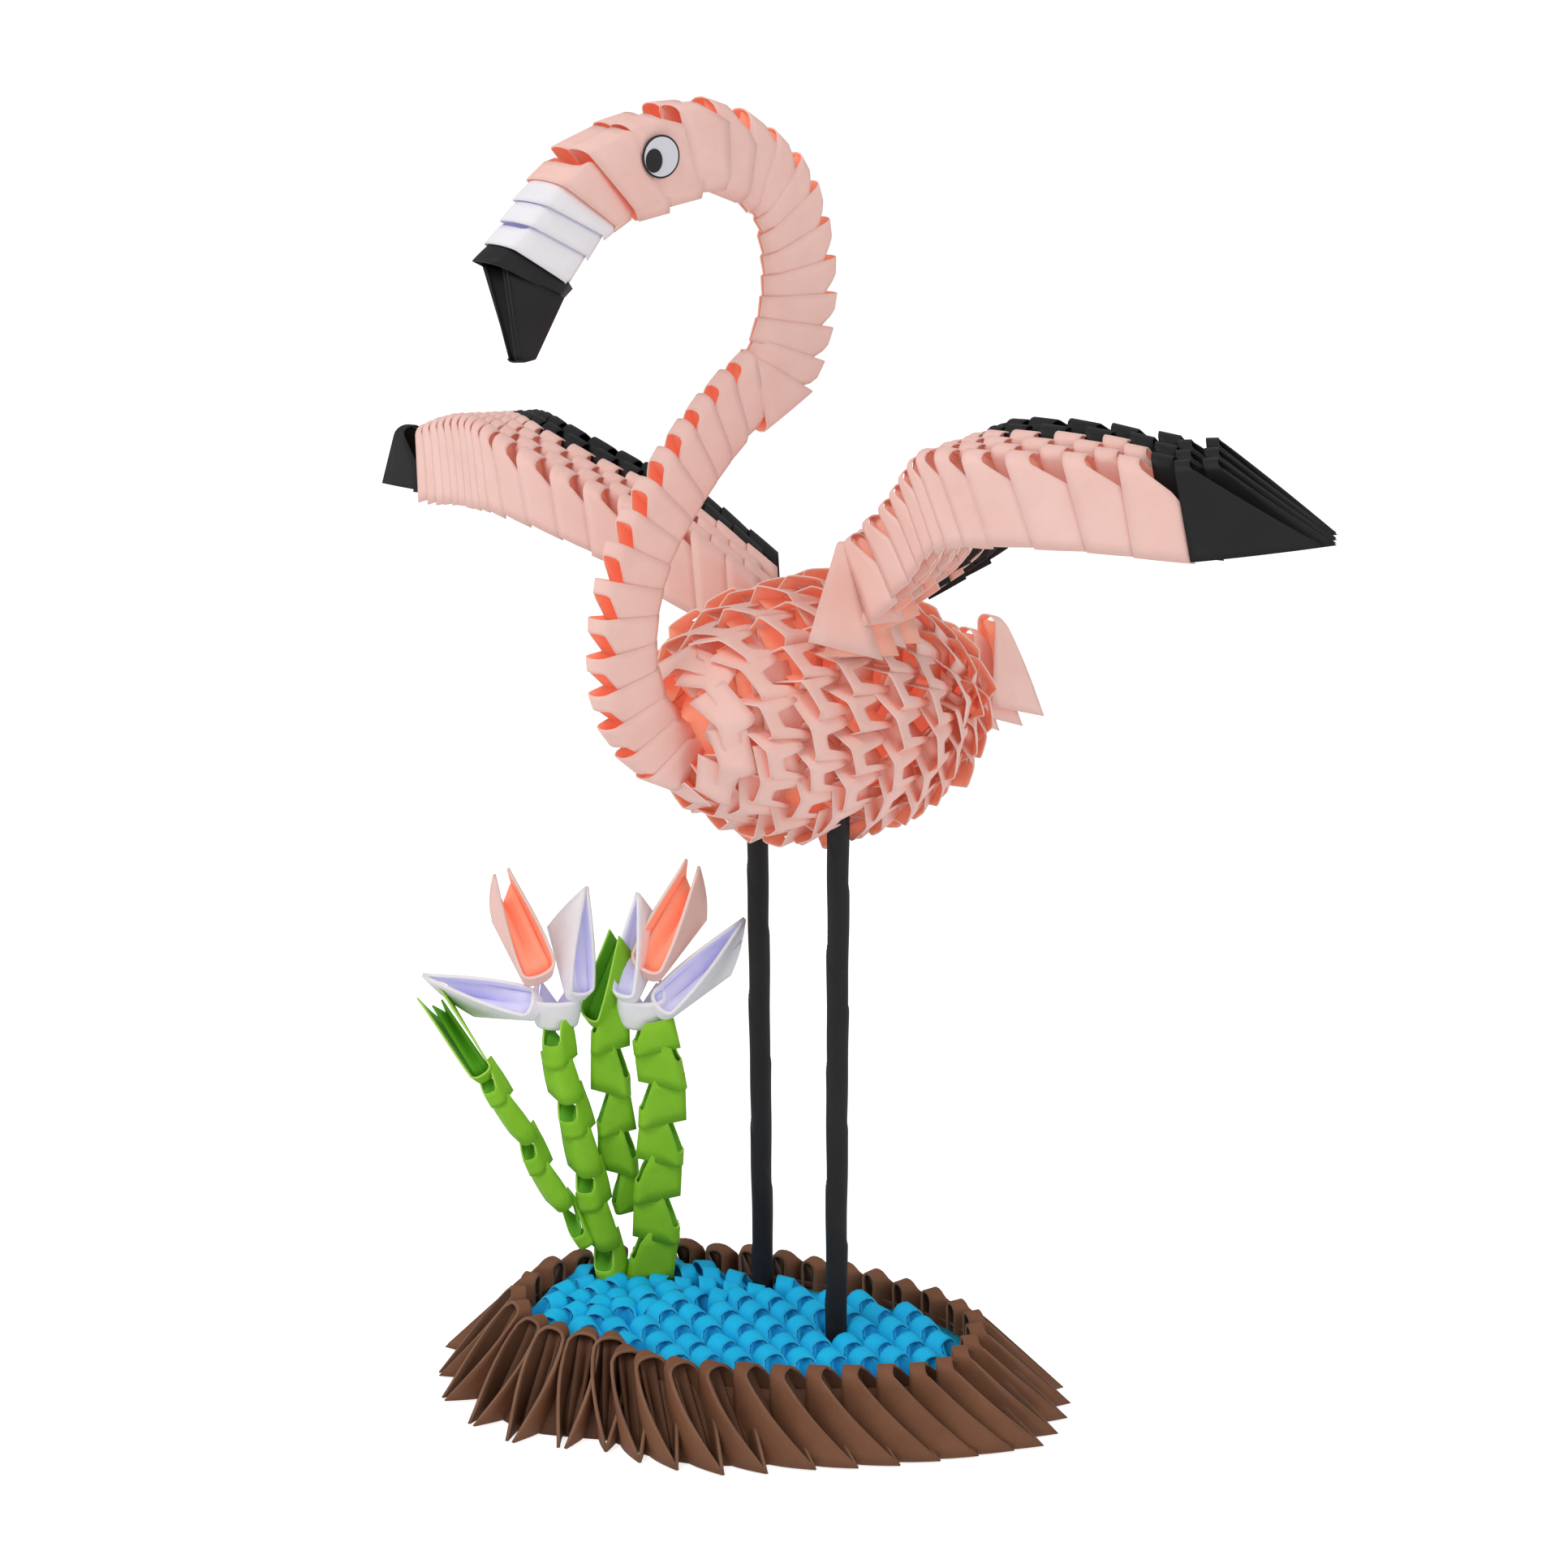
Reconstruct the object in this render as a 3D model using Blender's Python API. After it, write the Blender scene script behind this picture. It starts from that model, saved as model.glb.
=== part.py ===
# Folded-paper wading bird with spread wings, standing in a small pond beside two water flowers
from math import cos, sin, pi, radians

import bmesh
import bpy
from mathutils import Matrix, Vector

# The whole model grows with the paper unit: its short edge, in metres, sets the scale
UNIT_EDGE = 0.018
# The tables give that edge as 1.8, so they read as centimetres at this size
TABLE_EDGE = 1.8
CM = UNIT_EDGE / TABLE_EDGE
GAP = 0.03
NOSE_BAND = 0.26
LEG_RADIUS = 0.215
SOCKET_RADIUS = LEG_RADIUS + GAP
POND_TOP = 1.62
RIM_TOP = 1.85
RIM_UNITS = 60
RING_CELLS = 20
WING_COLUMN = 0.40
PINK_COLUMNS = 4
ALL_COLUMNS = 6
TRIM_CLEARANCE = 0.16
EYE_THICKNESS = 0.05
EYE_RADIUS = 0.42
EYE_PLACE = (-3.94, 24.33)
EYE_SIDES = 20
ROD_SIDES = 16
ENVELOPE_SIDES = 28
ENVELOPE_MARGIN = 0.06

PINK = (0.80, 0.48, 0.41, 1.0)
WHITE = (0.75, 0.72, 0.78, 1.0)
BLACK = (0.012, 0.012, 0.013, 1.0)
GREEN = (0.20, 0.45, 0.02, 1.0)
BLUE = (0.0, 0.33, 0.66, 1.0)
BROWN = (0.12, 0.055, 0.03, 1.0)

# Rims of the units from the beak to the back of the neck: nose y, nose z, inner end y, inner end z, half width
UPPER_NECK = [
    (-7.49, 22.80, -5.76, 21.95, 0.36), (-7.20, 23.07, -5.65, 22.17, 0.40), (-6.83, 23.42, -5.16, 22.59, 0.44),
    (-6.52, 23.75, -4.78, 22.90, 0.48), (-6.17, 24.08, -4.55, 23.02, 0.52), (-5.55, 24.57, -4.25, 23.21, 0.55),
    (-4.57, 24.92, -3.70, 23.38, 0.55), (-3.40, 25.17, -2.95, 23.59, 0.55), (-2.39, 25.22, -2.31, 23.56, 0.42),
    (-1.47, 24.96, -1.64, 23.40, 0.32), (-0.73, 24.56, -1.30, 23.18, 0.28), (-0.07, 24.07, -1.12, 22.92, 0.25),
    (0.37, 23.52, -1.03, 22.63, 0.24), (0.66, 22.84, -0.96, 22.25, 0.24), (0.83, 22.12, -0.94, 21.90, 0.24),
    (0.86, 21.44, -0.97, 21.54, 0.24), (0.77, 20.80, -1.07, 21.17, 0.24), (0.55, 20.19, -1.15, 20.81, 0.24),
    (0.23, 19.65, -1.20, 20.48, 0.24),
]
HEAD_PAIRS = (5, 6, 7)
# Rims of the units from the throat down to the breast
LOWER_NECK = [
    (-1.34, 20.62, -0.93, 19.25), (-1.90, 20.32, -1.36, 18.92), (-2.43, 19.95, -1.76, 18.60),
    (-2.92, 19.55, -2.11, 18.27), (-3.41, 19.11, -2.43, 17.95), (-3.87, 18.63, -2.73, 17.62),
    (-4.29, 18.12, -3.02, 17.27), (-4.65, 17.57, -3.24, 16.89), (-4.93, 16.92, -3.41, 16.49),
    (-5.11, 16.22, -3.53, 16.06), (-5.18, 15.50, -3.59, 15.59), (-5.14, 14.80, -3.55, 15.10),
    (-4.94, 14.14, -3.43, 14.60), (-4.52, 13.54, -3.14, 14.15), (-4.01, 13.06, -2.84, 13.75),
]
LOWER_HALF_WIDTH = 0.24
BREAST_START = 12
NECK_END = (-3.40, 12.72, -2.60, 13.45)

# Rings of the body: y, centre z, radius
BODY_RINGS = [
    (-2.95, 13.80, 1.15), (-2.40, 13.78, 1.75), (-1.65, 13.72, 2.18), (-0.85, 13.66, 2.47), (0.05, 13.62, 2.60),
    (1.00, 13.55, 2.60), (1.95, 13.45, 2.42), (2.80, 13.35, 2.08), (3.55, 13.25, 1.62), (4.25, 13.20, 1.05),
]

# Front column of the left wing from the root to the tip: nose, inner end
LEFT_WING = [
    ((1.21, -0.02, 16.99), (0.69, -0.30, 14.90)), ((2.11, -0.34, 17.66), (2.10, -0.10, 15.60)),
    ((3.00, -0.75, 18.22), (3.20, -0.45, 16.52)), ((3.80, -1.19, 18.77), (4.05, -0.89, 17.06)),
    ((4.48, -1.66, 19.26), (4.78, -1.34, 17.50)), ((5.04, -2.05, 19.58), (5.44, -1.64, 17.84)),
    ((5.64, -2.22, 19.69), (6.05, -1.81, 18.04)), ((6.26, -2.17, 19.72), (6.64, -1.80, 18.12)),
    ((6.97, -1.88, 19.75), (7.36, -1.48, 18.13)), ((7.75, -1.33, 19.76), (8.05, -0.96, 18.10)),
    ((8.47, -0.75, 19.74), (8.67, -0.50, 18.03)), ((9.18, -0.15, 19.65), (9.40, 0.10, 17.97)),
]
LEFT_TIP_END = ((11.20, 1.35, 18.45), (11.24, 1.38, 18.15))
LEFT_TIP_NARROWING = 0.55
LEFT_BACK_ROOT = (-0.25, 0.97, -0.03)
LEFT_BACK_TIP = (-0.62, 0.78, 0.06)

# Front column of the right wing from the tip to the root: nose, inner end
RIGHT_WING = [
    ((-11.00, -0.34, 17.69), (-11.45, -0.30, 16.46)), ((-10.49, -0.50, 17.79), (-10.55, -0.42, 16.19)),
    ((-10.12, -0.62, 17.92), (-10.15, -0.50, 16.22)), ((-9.73, -0.74, 18.05), (-9.75, -0.60, 16.28)),
    ((-9.35, -0.86, 18.15), (-9.35, -0.72, 16.36)), ((-8.92, -1.03, 18.26), (-8.93, -0.85, 16.44)),
    ((-8.49, -1.20, 18.35), (-8.52, -1.02, 16.52)), ((-8.07, -1.36, 18.42), (-8.11, -1.18, 16.58)),
    ((-7.65, -1.55, 18.45), (-7.70, -1.35, 16.66)), ((-7.22, -1.75, 18.45), (-7.28, -1.52, 16.74)),
    ((-6.80, -1.90, 18.42), (-6.86, -1.65, 16.78)), ((-6.29, -2.02, 18.32), (-6.34, -1.72, 16.80)),
    ((-5.64, -1.98, 18.13), (-5.68, -1.66, 16.71)), ((-4.94, -1.75, 17.87), (-5.00, -1.46, 16.51)),
    ((-4.28, -1.50, 17.62), (-4.36, -1.20, 16.19)), ((-3.62, -1.23, 17.41), (-3.74, -0.90, 15.83)),
    ((-2.98, -0.90, 17.15), (-3.12, -0.55, 15.45)), ((-2.38, -0.52, 16.80), (-2.55, -0.18, 15.10)),
    ((-1.85, -0.12, 16.35), (-2.05, 0.20, 14.75)),
]
RIGHT_ROOT_END = ((-1.40, 0.25, 15.95), (-1.60, 0.55, 14.50))
RIGHT_BACK_TIP = (-0.10, 0.97, -0.20)
RIGHT_BACK_ROOT = (-0.45, 0.88, 0.16)

# Pleats of the tail: middle x, then y and z of the top, the lower front and the rear point
TAIL_PLEATS = [
    (0.62, (4.30, 14.90), (4.10, 13.00), (6.02, 12.59)), (0.16, (4.26, 14.60), (4.08, 12.95), (5.80, 12.52)),
    (-0.30, (4.22, 14.35), (4.06, 12.90), (5.55, 12.45)), (-0.76, (4.20, 14.10), (4.06, 12.85), (5.30, 12.40)),
]
TAIL_PLEAT_WIDTH = 0.46

# Legs: foot x, y and top x, y at the heights below
LEG_LINES = {"left_leg": ((1.20, -0.14), (1.26, -0.19)), "right_leg": ((-1.53, 0.50), (-1.46, 0.29))}
LEG_FOOT = POND_TOP - 0.40
LEG_TOP = 11.9

# Round the pond: inner top x, y and outer tip x, y of a rim unit
RIM_PAIRS = [
    (-4.41, -2.98, -6.10, -3.94), (-4.05, -3.60, -5.10, -4.95), (-3.50, -4.00, -4.10, -5.65),
    (-2.80, -4.22, -2.80, -6.02), (-2.15, -4.30, -1.70, -5.98), (-1.60, -4.05, -0.80, -5.45),
    (-1.15, -3.85, -0.10, -4.95), (-0.60, -4.00, 0.70, -4.80), (-0.02, -4.02, 1.43, -4.51),
    (0.57, -3.81, 2.18, -4.03), (1.10, -3.43, 2.70, -3.40), (1.62, -3.07, 3.20, -2.62),
    (2.14, -2.65, 3.70, -2.00), (2.58, -2.15, 4.16, -1.35), (3.02, -1.67, 4.54, -0.66),
    (3.45, -1.20, 4.88, 0.02), (3.80, -0.70, 5.18, 0.68), (4.02, -0.20, 5.42, 1.24),
    (3.90, 0.35, 5.24, 1.84), (3.68, 0.85, 4.88, 2.50), (3.38, 1.32, 4.46, 3.05), (2.93, 1.74, 3.86, 3.50),
    (2.30, 1.95, 3.05, 3.72), (1.60, 1.98, 2.20, 3.78), (0.90, 1.90, 1.35, 3.70), (0.20, 1.78, 0.50, 3.58),
    (-0.50, 1.64, -0.35, 3.42), (-1.15, 1.42, -1.20, 3.20), (-1.75, 1.16, -2.05, 2.90),
    (-2.35, 0.86, -2.90, 2.52), (-2.95, 0.52, -3.70, 2.08), (-3.50, 0.14, -4.45, 1.56),
    (-4.00, -0.36, -5.20, 0.85), (-4.35, -0.95, -5.80, -0.05), (-4.55, -1.60, -6.20, -1.05),
    (-4.58, -2.28, -6.35, -2.45),
]
POND_CENTRE = (-1.3, -1.5)
# Rings of the water's noses, as shares of the way from the middle to the edge
POND_RINGS = (0.97, 0.84, 0.71, 0.58, 0.45, 0.32, 0.19)
# The stalks turn with the picture's width, in degrees round the upright axis
STALK_TURN = 46
STALK_HOLE_MARGIN = (0.12, 0.09)
STALK_HOLE_HEIGHT = 0.6

# Stalks of the flowers: x, y, z, half width across, half depth
STALK_1 = [
    (-6.10, -4.05, 7.45, 0.16, 0.10), (-5.60, -3.55, 6.30, 0.22, 0.16), (-5.25, -3.18, 5.42, 0.24, 0.18),
    (-4.95, -2.87, 4.62, 0.24, 0.18), (-4.70, -2.62, 3.90, 0.24, 0.18), (-4.45, -2.36, 3.26, 0.25, 0.18),
    (-4.15, -2.06, 2.62, 0.26, 0.20),
]
STALK_2 = [
    (-4.43, -2.34, 6.76, 0.24, 0.18), (-4.30, -2.20, 5.55, 0.26, 0.18), (-4.18, -2.07, 4.62, 0.27, 0.18),
    (-4.03, -1.92, 3.90, 0.26, 0.18), (-3.95, -1.83, 3.20, 0.24, 0.18), (-3.80, -1.68, 2.40, 0.30, 0.22),
    (-3.70, -1.58, 1.40, 0.16, 0.16),
]
STALK_3 = [
    (-3.98, -1.10, 8.70, 0.12, 0.10), (-4.10, -1.30, 7.50, 0.22, 0.16), (-4.06, -1.32, 6.20, 0.26, 0.18),
    (-3.98, -1.28, 5.00, 0.28, 0.18), (-3.85, -1.10, 4.00, 0.26, 0.18), (-3.72, -0.85, 3.20, 0.22, 0.14),
]
STALK_4 = [
    (-3.16, -1.00, 6.76, 0.30, 0.20), (-3.00, -0.78, 5.60, 0.42, 0.24), (-3.02, -0.80, 4.70, 0.42, 0.24),
    (-3.12, -0.88, 3.60, 0.42, 0.24), (-3.18, -0.90, 2.80, 0.40, 0.24), (-3.20, -0.85, 2.10, 0.40, 0.24),
    (-3.30, -0.95, 1.40, 0.30, 0.20),
]
# Across the stalks and petals, seen from the open side of the pond
ACROSS = Vector((0.695, 0.719, 0.0))
TOWARD = Vector((0.719, -0.695, 0.0))

# Petals: bow point, tip, half width at the bow and half width at the tip
FLOWER_1 = {
    "white": [((-4.43, -2.34, 6.80), None), ((-4.62, -2.53, 7.22), (-6.24, -4.21, 7.95)),
              ((-4.13, -2.02, 7.34), (-4.00, -1.86, 9.71))],
    "pink": ((-4.61, -2.52, 7.72), (-5.15, -3.08, 10.00)),
}
FLOWER_2 = {
    "white": [((-3.26, -1.12, 6.80), None), ((-3.49, -1.36, 7.30), (-3.30, -1.17, 9.60)),
              ((-3.09, -0.95, 7.09), (-1.85, 0.33, 9.05))],
    "pink": ((-3.24, -1.11, 7.84), (-2.56, -0.40, 10.18)),
}


def vec(*values):
    return Vector(values)


def smooth(points, count, closed=False):
    size = len(points)
    spans = size if closed else size - 1
    result = []
    for index in range(count):
        place = index * spans / (count if closed else count - 1)
        start = min(int(place), spans - 1)
        f = place - start
        if closed:
            a, b, c, d = [Vector(points[(start + k) % size]) for k in (-1, 0, 1, 2)]
        else:
            a, b, c, d = [Vector(points[min(max(start + k, 0), size - 1)]) for k in (-1, 0, 1, 2)]
        result.append(0.5 * (2 * b + (c - a) * f + (2 * a - 5 * b + 4 * c - d) * f * f
                             + (3 * b - a - 3 * c + d) * f ** 3))
    return result


def paper(name, colour):
    material = bpy.data.materials.new(name + "_paper")
    material.use_nodes = True
    shader = material.node_tree.nodes["Principled BSDF"]
    shader.inputs["Base Color"].default_value = colour
    shader.inputs["Roughness"].default_value = 0.75
    return material


def add_object(name, mesh_work, colour):
    bmesh.ops.recalc_face_normals(mesh_work, faces=mesh_work.faces[:])
    if mesh_work.calc_volume(signed=True) < 0:
        bmesh.ops.reverse_faces(mesh_work, faces=mesh_work.faces[:])
    mesh = bpy.data.meshes.new(name)
    mesh_work.to_mesh(mesh)
    mesh_work.free()
    obj = bpy.data.objects.new(name, mesh)
    bpy.context.scene.collection.objects.link(obj)
    mesh.materials.append(paper(name, colour))
    return obj


def loft(name, rows, colour, ring=False):
    # Each row is a closed outline, and the rows are either capped at both ends or joined into a ring
    across = len(rows[0])
    if ring:
        rows = rows + [rows[0]]
    work = bmesh.new()
    bmesh.ops.create_grid(work, x_segments=across, y_segments=len(rows) - 1, size=1.0)
    work.verts.ensure_lookup_table()
    for r, row in enumerate(rows):
        for c in range(across + 1):
            work.verts[r * (across + 1) + c].co = row[c % across] * CM
    bmesh.ops.remove_doubles(work, verts=work.verts[:], dist=1e-7)
    if not ring:
        bmesh.ops.holes_fill(work, edges=[e for e in work.edges if e.is_boundary], sides=0)
    return add_object(name, work, colour)


def mix(a, b, share):
    return [p.lerp(q, share) for p, q in zip(a, b)]


# A rim outline lies in one plane: down one flap, round the nose and back up the other flap
def rim(nose, end, side, half, half_end, centre=0.0, notch=0.0, tuck=0.0, shrink=1.0):
    nose = Vector(nose)
    end = Vector(end)
    along = (end - nose).normalized()
    length = (end - nose).length
    profile = [
        (length - tuck, half_end * shrink), (0.55 + notch * 0.10, half * shrink),
        (0.14 + notch * 0.42 + tuck, half * shrink * 0.86), (tuck + notch * 0.85, half * shrink * 0.38),
    ]
    points = [nose + along * d - side * w for d, w in profile]
    points += [nose + along * d + side * w for d, w in reversed(profile)]
    return [p + side * centre for p in points]


def move(points, offset):
    return [p + offset for p in points]


# One neck unit fills the space from its own rim to the next rim, less the clearance
def neck_unit(name, this_rim, next_rim, half, next_half, colour, centre=0.0, deep=0.8):
    side = vec(1, 0, 0)
    first = rim(*this_rim, side, half, half * 0.85, centre)
    second = rim(*next_rim, side, half, half * 0.85, centre)
    last = rim(*next_rim, side, min(half, next_half), min(half, next_half) * 0.85, centre, deep, 0.06, 0.92)
    nose_step = (Vector(next_rim[0]) - Vector(this_rim[0])).length
    band = min(NOSE_BAND / nose_step, 0.6)
    along = (Vector(next_rim[1]) - Vector(next_rim[0])).normalized()
    normal = along.cross(side).normalized()
    if normal.dot(Vector(next_rim[0]) - Vector(this_rim[0])) < 0:
        normal.negate()
    return loft(name, [first, mix(first, second, band), move(last, normal * -GAP)], colour)


def flat(station):
    return (0.0, station[0], station[1]), (0.0, station[2], station[3])


def build_neck():
    names = ["beak_band", "white_1", "white_2", "white_3", "forehead", "head_1", "head_2", "head_3"]
    upper = [flat(s) for s in UPPER_NECK]
    for index in range(len(upper) - 1):
        half = UPPER_NECK[index][4]
        following = UPPER_NECK[index + 1][4]
        colour = BLACK if index == 0 else WHITE if index < 4 else PINK
        label = names[index] if index < len(names) else "neck_%02d" % (index - 7)
        if index in HEAD_PAIRS:
            wide = half / 2 - GAP / 2
            for part, sign in (("left", 1), ("right", -1)):
                neck_unit(label + "_" + part, upper[index], upper[index + 1], wide, wide, colour,
                          sign * (wide + GAP / 2))
        else:
            neck_unit(label, upper[index], upper[index + 1], half, following, colour)
    build_throat(upper[-1])
    lower = [flat(s) for s in LOWER_NECK] + [flat(NECK_END)]
    for index in range(len(lower) - 1):
        label = "neck_%02d" % (index + 12)
        unit = neck_unit(label, lower[index], lower[index + 1], LOWER_HALF_WIDTH, LOWER_HALF_WIDTH, PINK)
        if index >= BREAST_START:
            cut(unit, envelope(label + "_trimmer"))


# The last upper unit turns the chain over: it closes against the first lower unit, nose to inner end
def build_throat(last_rim):
    side = vec(1, 0, 0)
    nose, end = flat(LOWER_NECK[0])
    first = rim(*last_rim, side, 0.24, 0.21)
    across = (Vector(end) - Vector(nose)).normalized().cross(side)
    if across.z < 0:
        across.negate()
    turned = rim(Vector(end) + across * GAP, Vector(nose) + across * GAP, side, 0.21, 0.21, tuck=0.06)
    loft("neck_11", [first, mix(first, turned, 0.35), turned], PINK)


def build_beak():
    low_front, low_back = (-6.76, 21.00), (-6.31, 21.02)
    top_front, top_back = (-7.24, 22.675), (-5.80, 21.97)

    def outline(front, back, half, groove):
        f, b = vec(0, *front), vec(0, *back)
        inward = (b - f) * groove
        side = vec(half, 0, 0)
        return [f - side, f + inward - side * 0.2, f + inward + side * 0.2, f + side,
                b + side * 0.9, b - side * 0.9]

    along = (vec(0, *top_back) - vec(0, *top_front)).normalized()
    drop = vec(0, along.z, -along.y) * GAP
    top = move(outline(top_front, top_back, 0.30, 0.30), drop)
    bottom = outline(low_front, low_back, 0.16, 0.12)
    loft("beak", [bottom, mix(bottom, top, 0.12), top], BLACK)


def build_eyes():
    for name, sign in (("eye_left", 1), ("eye_right", -1)):
        work = bmesh.new()
        cheek = UPPER_NECK[HEAD_PAIRS[1]][4]
        place = Matrix.Translation(vec(sign * (cheek + GAP + EYE_THICKNESS / 2), *EYE_PLACE) * CM)
        bmesh.ops.create_cone(work, cap_ends=True, segments=EYE_SIDES, depth=EYE_THICKNESS * CM,
                              radius1=EYE_RADIUS * CM, radius2=EYE_RADIUS * CM,
                              matrix=place @ Matrix.Rotation(pi / 2, 4, "Y"))
        add_object(name, work, WHITE)


def ring_points(y, z, radius, steps, pull_even=0.0, pull_odd=0.0, turn=0.0):
    points = []
    for index in range(steps):
        angle = 2 * pi * (index + turn) / steps
        reach = radius - (pull_odd if index % 2 else pull_even)
        points.append(vec(reach * cos(angle), y, z + reach * sin(angle)))
    return points


# Each ring is a band of noses, and behind it the cells sink between the walls of the next ring
def build_body():
    rows = []
    steps = RING_CELLS * 2
    for index in range(len(BODY_RINGS) - 1):
        y, z, radius = BODY_RINGS[index]
        next_y, next_z, next_radius = BODY_RINGS[index + 1]
        rows.append(ring_points(y, z, radius, steps))
        rows.append(ring_points(y + 0.28, z, radius * 0.99, steps))
        low = min(radius, next_radius)
        deep, shallow = 0.26 * low, 0.10 * low
        if index % 2:
            deep, shallow = shallow, deep
        rows.append(ring_points(next_y - 0.03, next_z, low, steps, deep, shallow))
    body = loft("body", rows, PINK)
    for name, (foot, top) in LEG_LINES.items():
        cut(body, rod(name + "_socket", foot, top, 9.0, LEG_TOP + GAP, SOCKET_RADIUS, BLACK, True))


def envelope(name):
    # A smooth barrel round the body, with clearance, that trims whatever meets the body
    front, rear = BODY_RINGS[0], BODY_RINGS[-1]
    rows = [ring_points(front[0] - GAP, front[1], front[2] + 10 * GAP, ENVELOPE_SIDES, turn=0.5)]
    for index in range(len(BODY_RINGS) - 1):
        y, z, radius = BODY_RINGS[index]
        reach = max(radius, BODY_RINGS[index + 1][2]) + ENVELOPE_MARGIN
        rows.append(ring_points(y + GAP, z, reach, ENVELOPE_SIDES, turn=0.5))
    rows.append(ring_points(rear[0], rear[1], BODY_RINGS[-2][2] + ENVELOPE_MARGIN, ENVELOPE_SIDES, turn=0.5))
    return as_cutter(loft(name, rows, PINK))


def as_cutter(obj):
    obj.hide_render = True
    obj.display_type = "WIRE"
    return obj


def cut(obj, cutter):
    modifier = obj.modifiers.new("cut_" + cutter.name, "BOOLEAN")
    modifier.operation = "DIFFERENCE"
    modifier.solver = "EXACT"
    modifier.object = cutter


def rod(name, foot, top, low, high, radius, colour, cutter=False):
    def at(height):
        share = (height - LEG_FOOT) / (LEG_TOP - LEG_FOOT)
        return vec(foot[0] + (top[0] - foot[0]) * share, foot[1] + (top[1] - foot[1]) * share, height)

    start, end = at(low), at(high)
    middle = (start + end) / 2
    turn = (end - start).to_track_quat("Z", "Y").to_matrix().to_4x4()
    work = bmesh.new()
    bmesh.ops.create_cone(work, cap_ends=True, segments=ROD_SIDES, radius1=radius * CM, radius2=radius * CM,
                          depth=(end - start).length * CM, matrix=Matrix.Translation(middle * CM) @ turn)
    for face in work.faces:
        face.smooth = len(face.verts) == 4
    obj = add_object(name, work, colour)
    return as_cutter(obj) if cutter else obj


# One cross-section of a wing: a bump for each column of units along the top, flat underneath
def wing_row(station, back, first, last, drop=0.0, narrow=0.0):
    nose, end = Vector(station[0]), Vector(station[1])
    down = (end - nose).normalized()
    length = (end - nose).length
    points = []
    front = (first - 0.5) * WING_COLUMN + narrow
    rear = (last - 0.5) * WING_COLUMN - narrow
    points.append(nose + down * (length - drop) + back * front)
    points.append(nose + down * (0.22 + drop) + back * front)
    for column in range(first, last):
        middle = column * WING_COLUMN
        points.append(nose + down * drop + back * (middle - 0.09))
        points.append(nose + down * drop + back * (middle + 0.09))
        if column < last - 1:
            points.append(nose + down * (0.16 + drop) + back * (middle + WING_COLUMN / 2))
    points.append(nose + down * (0.22 + drop) + back * rear)
    points.append(nose + down * (length - drop) + back * rear)
    return points


def back_direction(start, end, share, station):
    # The columns run backwards, square to the unit's own spine
    wanted = Vector(start).lerp(Vector(end), share)
    down = (Vector(station[1]) - Vector(station[0])).normalized()
    return (wanted - down * wanted.dot(down)).normalized()


def wing_rows(stations, start, end, first, last):
    rows = []
    count = len(stations)
    for index in range(count - 1):
        here, following = stations[index], stations[index + 1]
        here_back = back_direction(start, end, index / (count - 1), here)
        next_back = back_direction(start, end, (index + 1) / (count - 1), following)
        rows.append(wing_row(here, here_back, first, last))
        close = []
        for k in (0, 1):
            step_back = (Vector(here[k]) - Vector(following[k])).normalized()
            close.append(Vector(following[k]) + step_back * GAP)
        rows.append(wing_row(close, next_back, first, last, 0.07, 0.02))
    return rows


def build_wings():
    pink = wing_rows(LEFT_WING, LEFT_BACK_ROOT, LEFT_BACK_TIP, 0, PINK_COLUMNS)
    cut(loft("left_wing", pink, PINK), envelope("left_wing_trimmer"))
    trim = wing_rows(LEFT_WING, LEFT_BACK_ROOT, LEFT_BACK_TIP, PINK_COLUMNS, ALL_COLUMNS)
    trim = shift_trim(trim, TRIM_CLEARANCE)
    cut(loft("left_wing_trim", trim, BLACK), envelope("left_trim_trimmer"))
    tip_back = back_direction(LEFT_BACK_ROOT, LEFT_BACK_TIP, 1.0, LEFT_WING[-1])
    first = wing_row(LEFT_WING[-1], tip_back, 0, ALL_COLUMNS)
    last = wing_row(LEFT_TIP_END, tip_back * LEFT_TIP_NARROWING, 0, ALL_COLUMNS, -0.15)
    loft("left_wing_tip", [first, mix(first, last, 0.12), last], BLACK)

    outer = RIGHT_WING + [RIGHT_ROOT_END]
    share = 1 / (len(outer) - 1)
    tip_backs = [back_direction(RIGHT_BACK_TIP, RIGHT_BACK_ROOT, k * share, outer[k]) for k in (0, 1)]
    close = [Vector(outer[1][k]) + vec(-GAP, 0, 0) for k in (0, 1)]
    first = wing_row(outer[0], tip_backs[0], 0, ALL_COLUMNS)
    loft("right_wing_tip", [first, wing_row(close, tip_backs[1], 0, ALL_COLUMNS, 0.05, 0.02)], BLACK)
    rest = outer[1:]
    pink = wing_rows(rest, RIGHT_BACK_TIP, RIGHT_BACK_ROOT, 0, PINK_COLUMNS)
    cut(loft("right_wing", pink, PINK), envelope("right_wing_trimmer"))
    trim = wing_rows(rest, RIGHT_BACK_TIP, RIGHT_BACK_ROOT, PINK_COLUMNS, ALL_COLUMNS)
    trim = shift_trim(trim, TRIM_CLEARANCE)
    cut(loft("right_wing_trim", trim, BLACK), envelope("right_trim_trimmer"))


def shift_trim(rows, distance):
    # The trim stands clear of the pink columns by moving along its own width
    moved = []
    for row in rows:
        width = (row[-1] - row[0]).normalized()
        moved.append(move(row, width * distance))
    return moved


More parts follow.
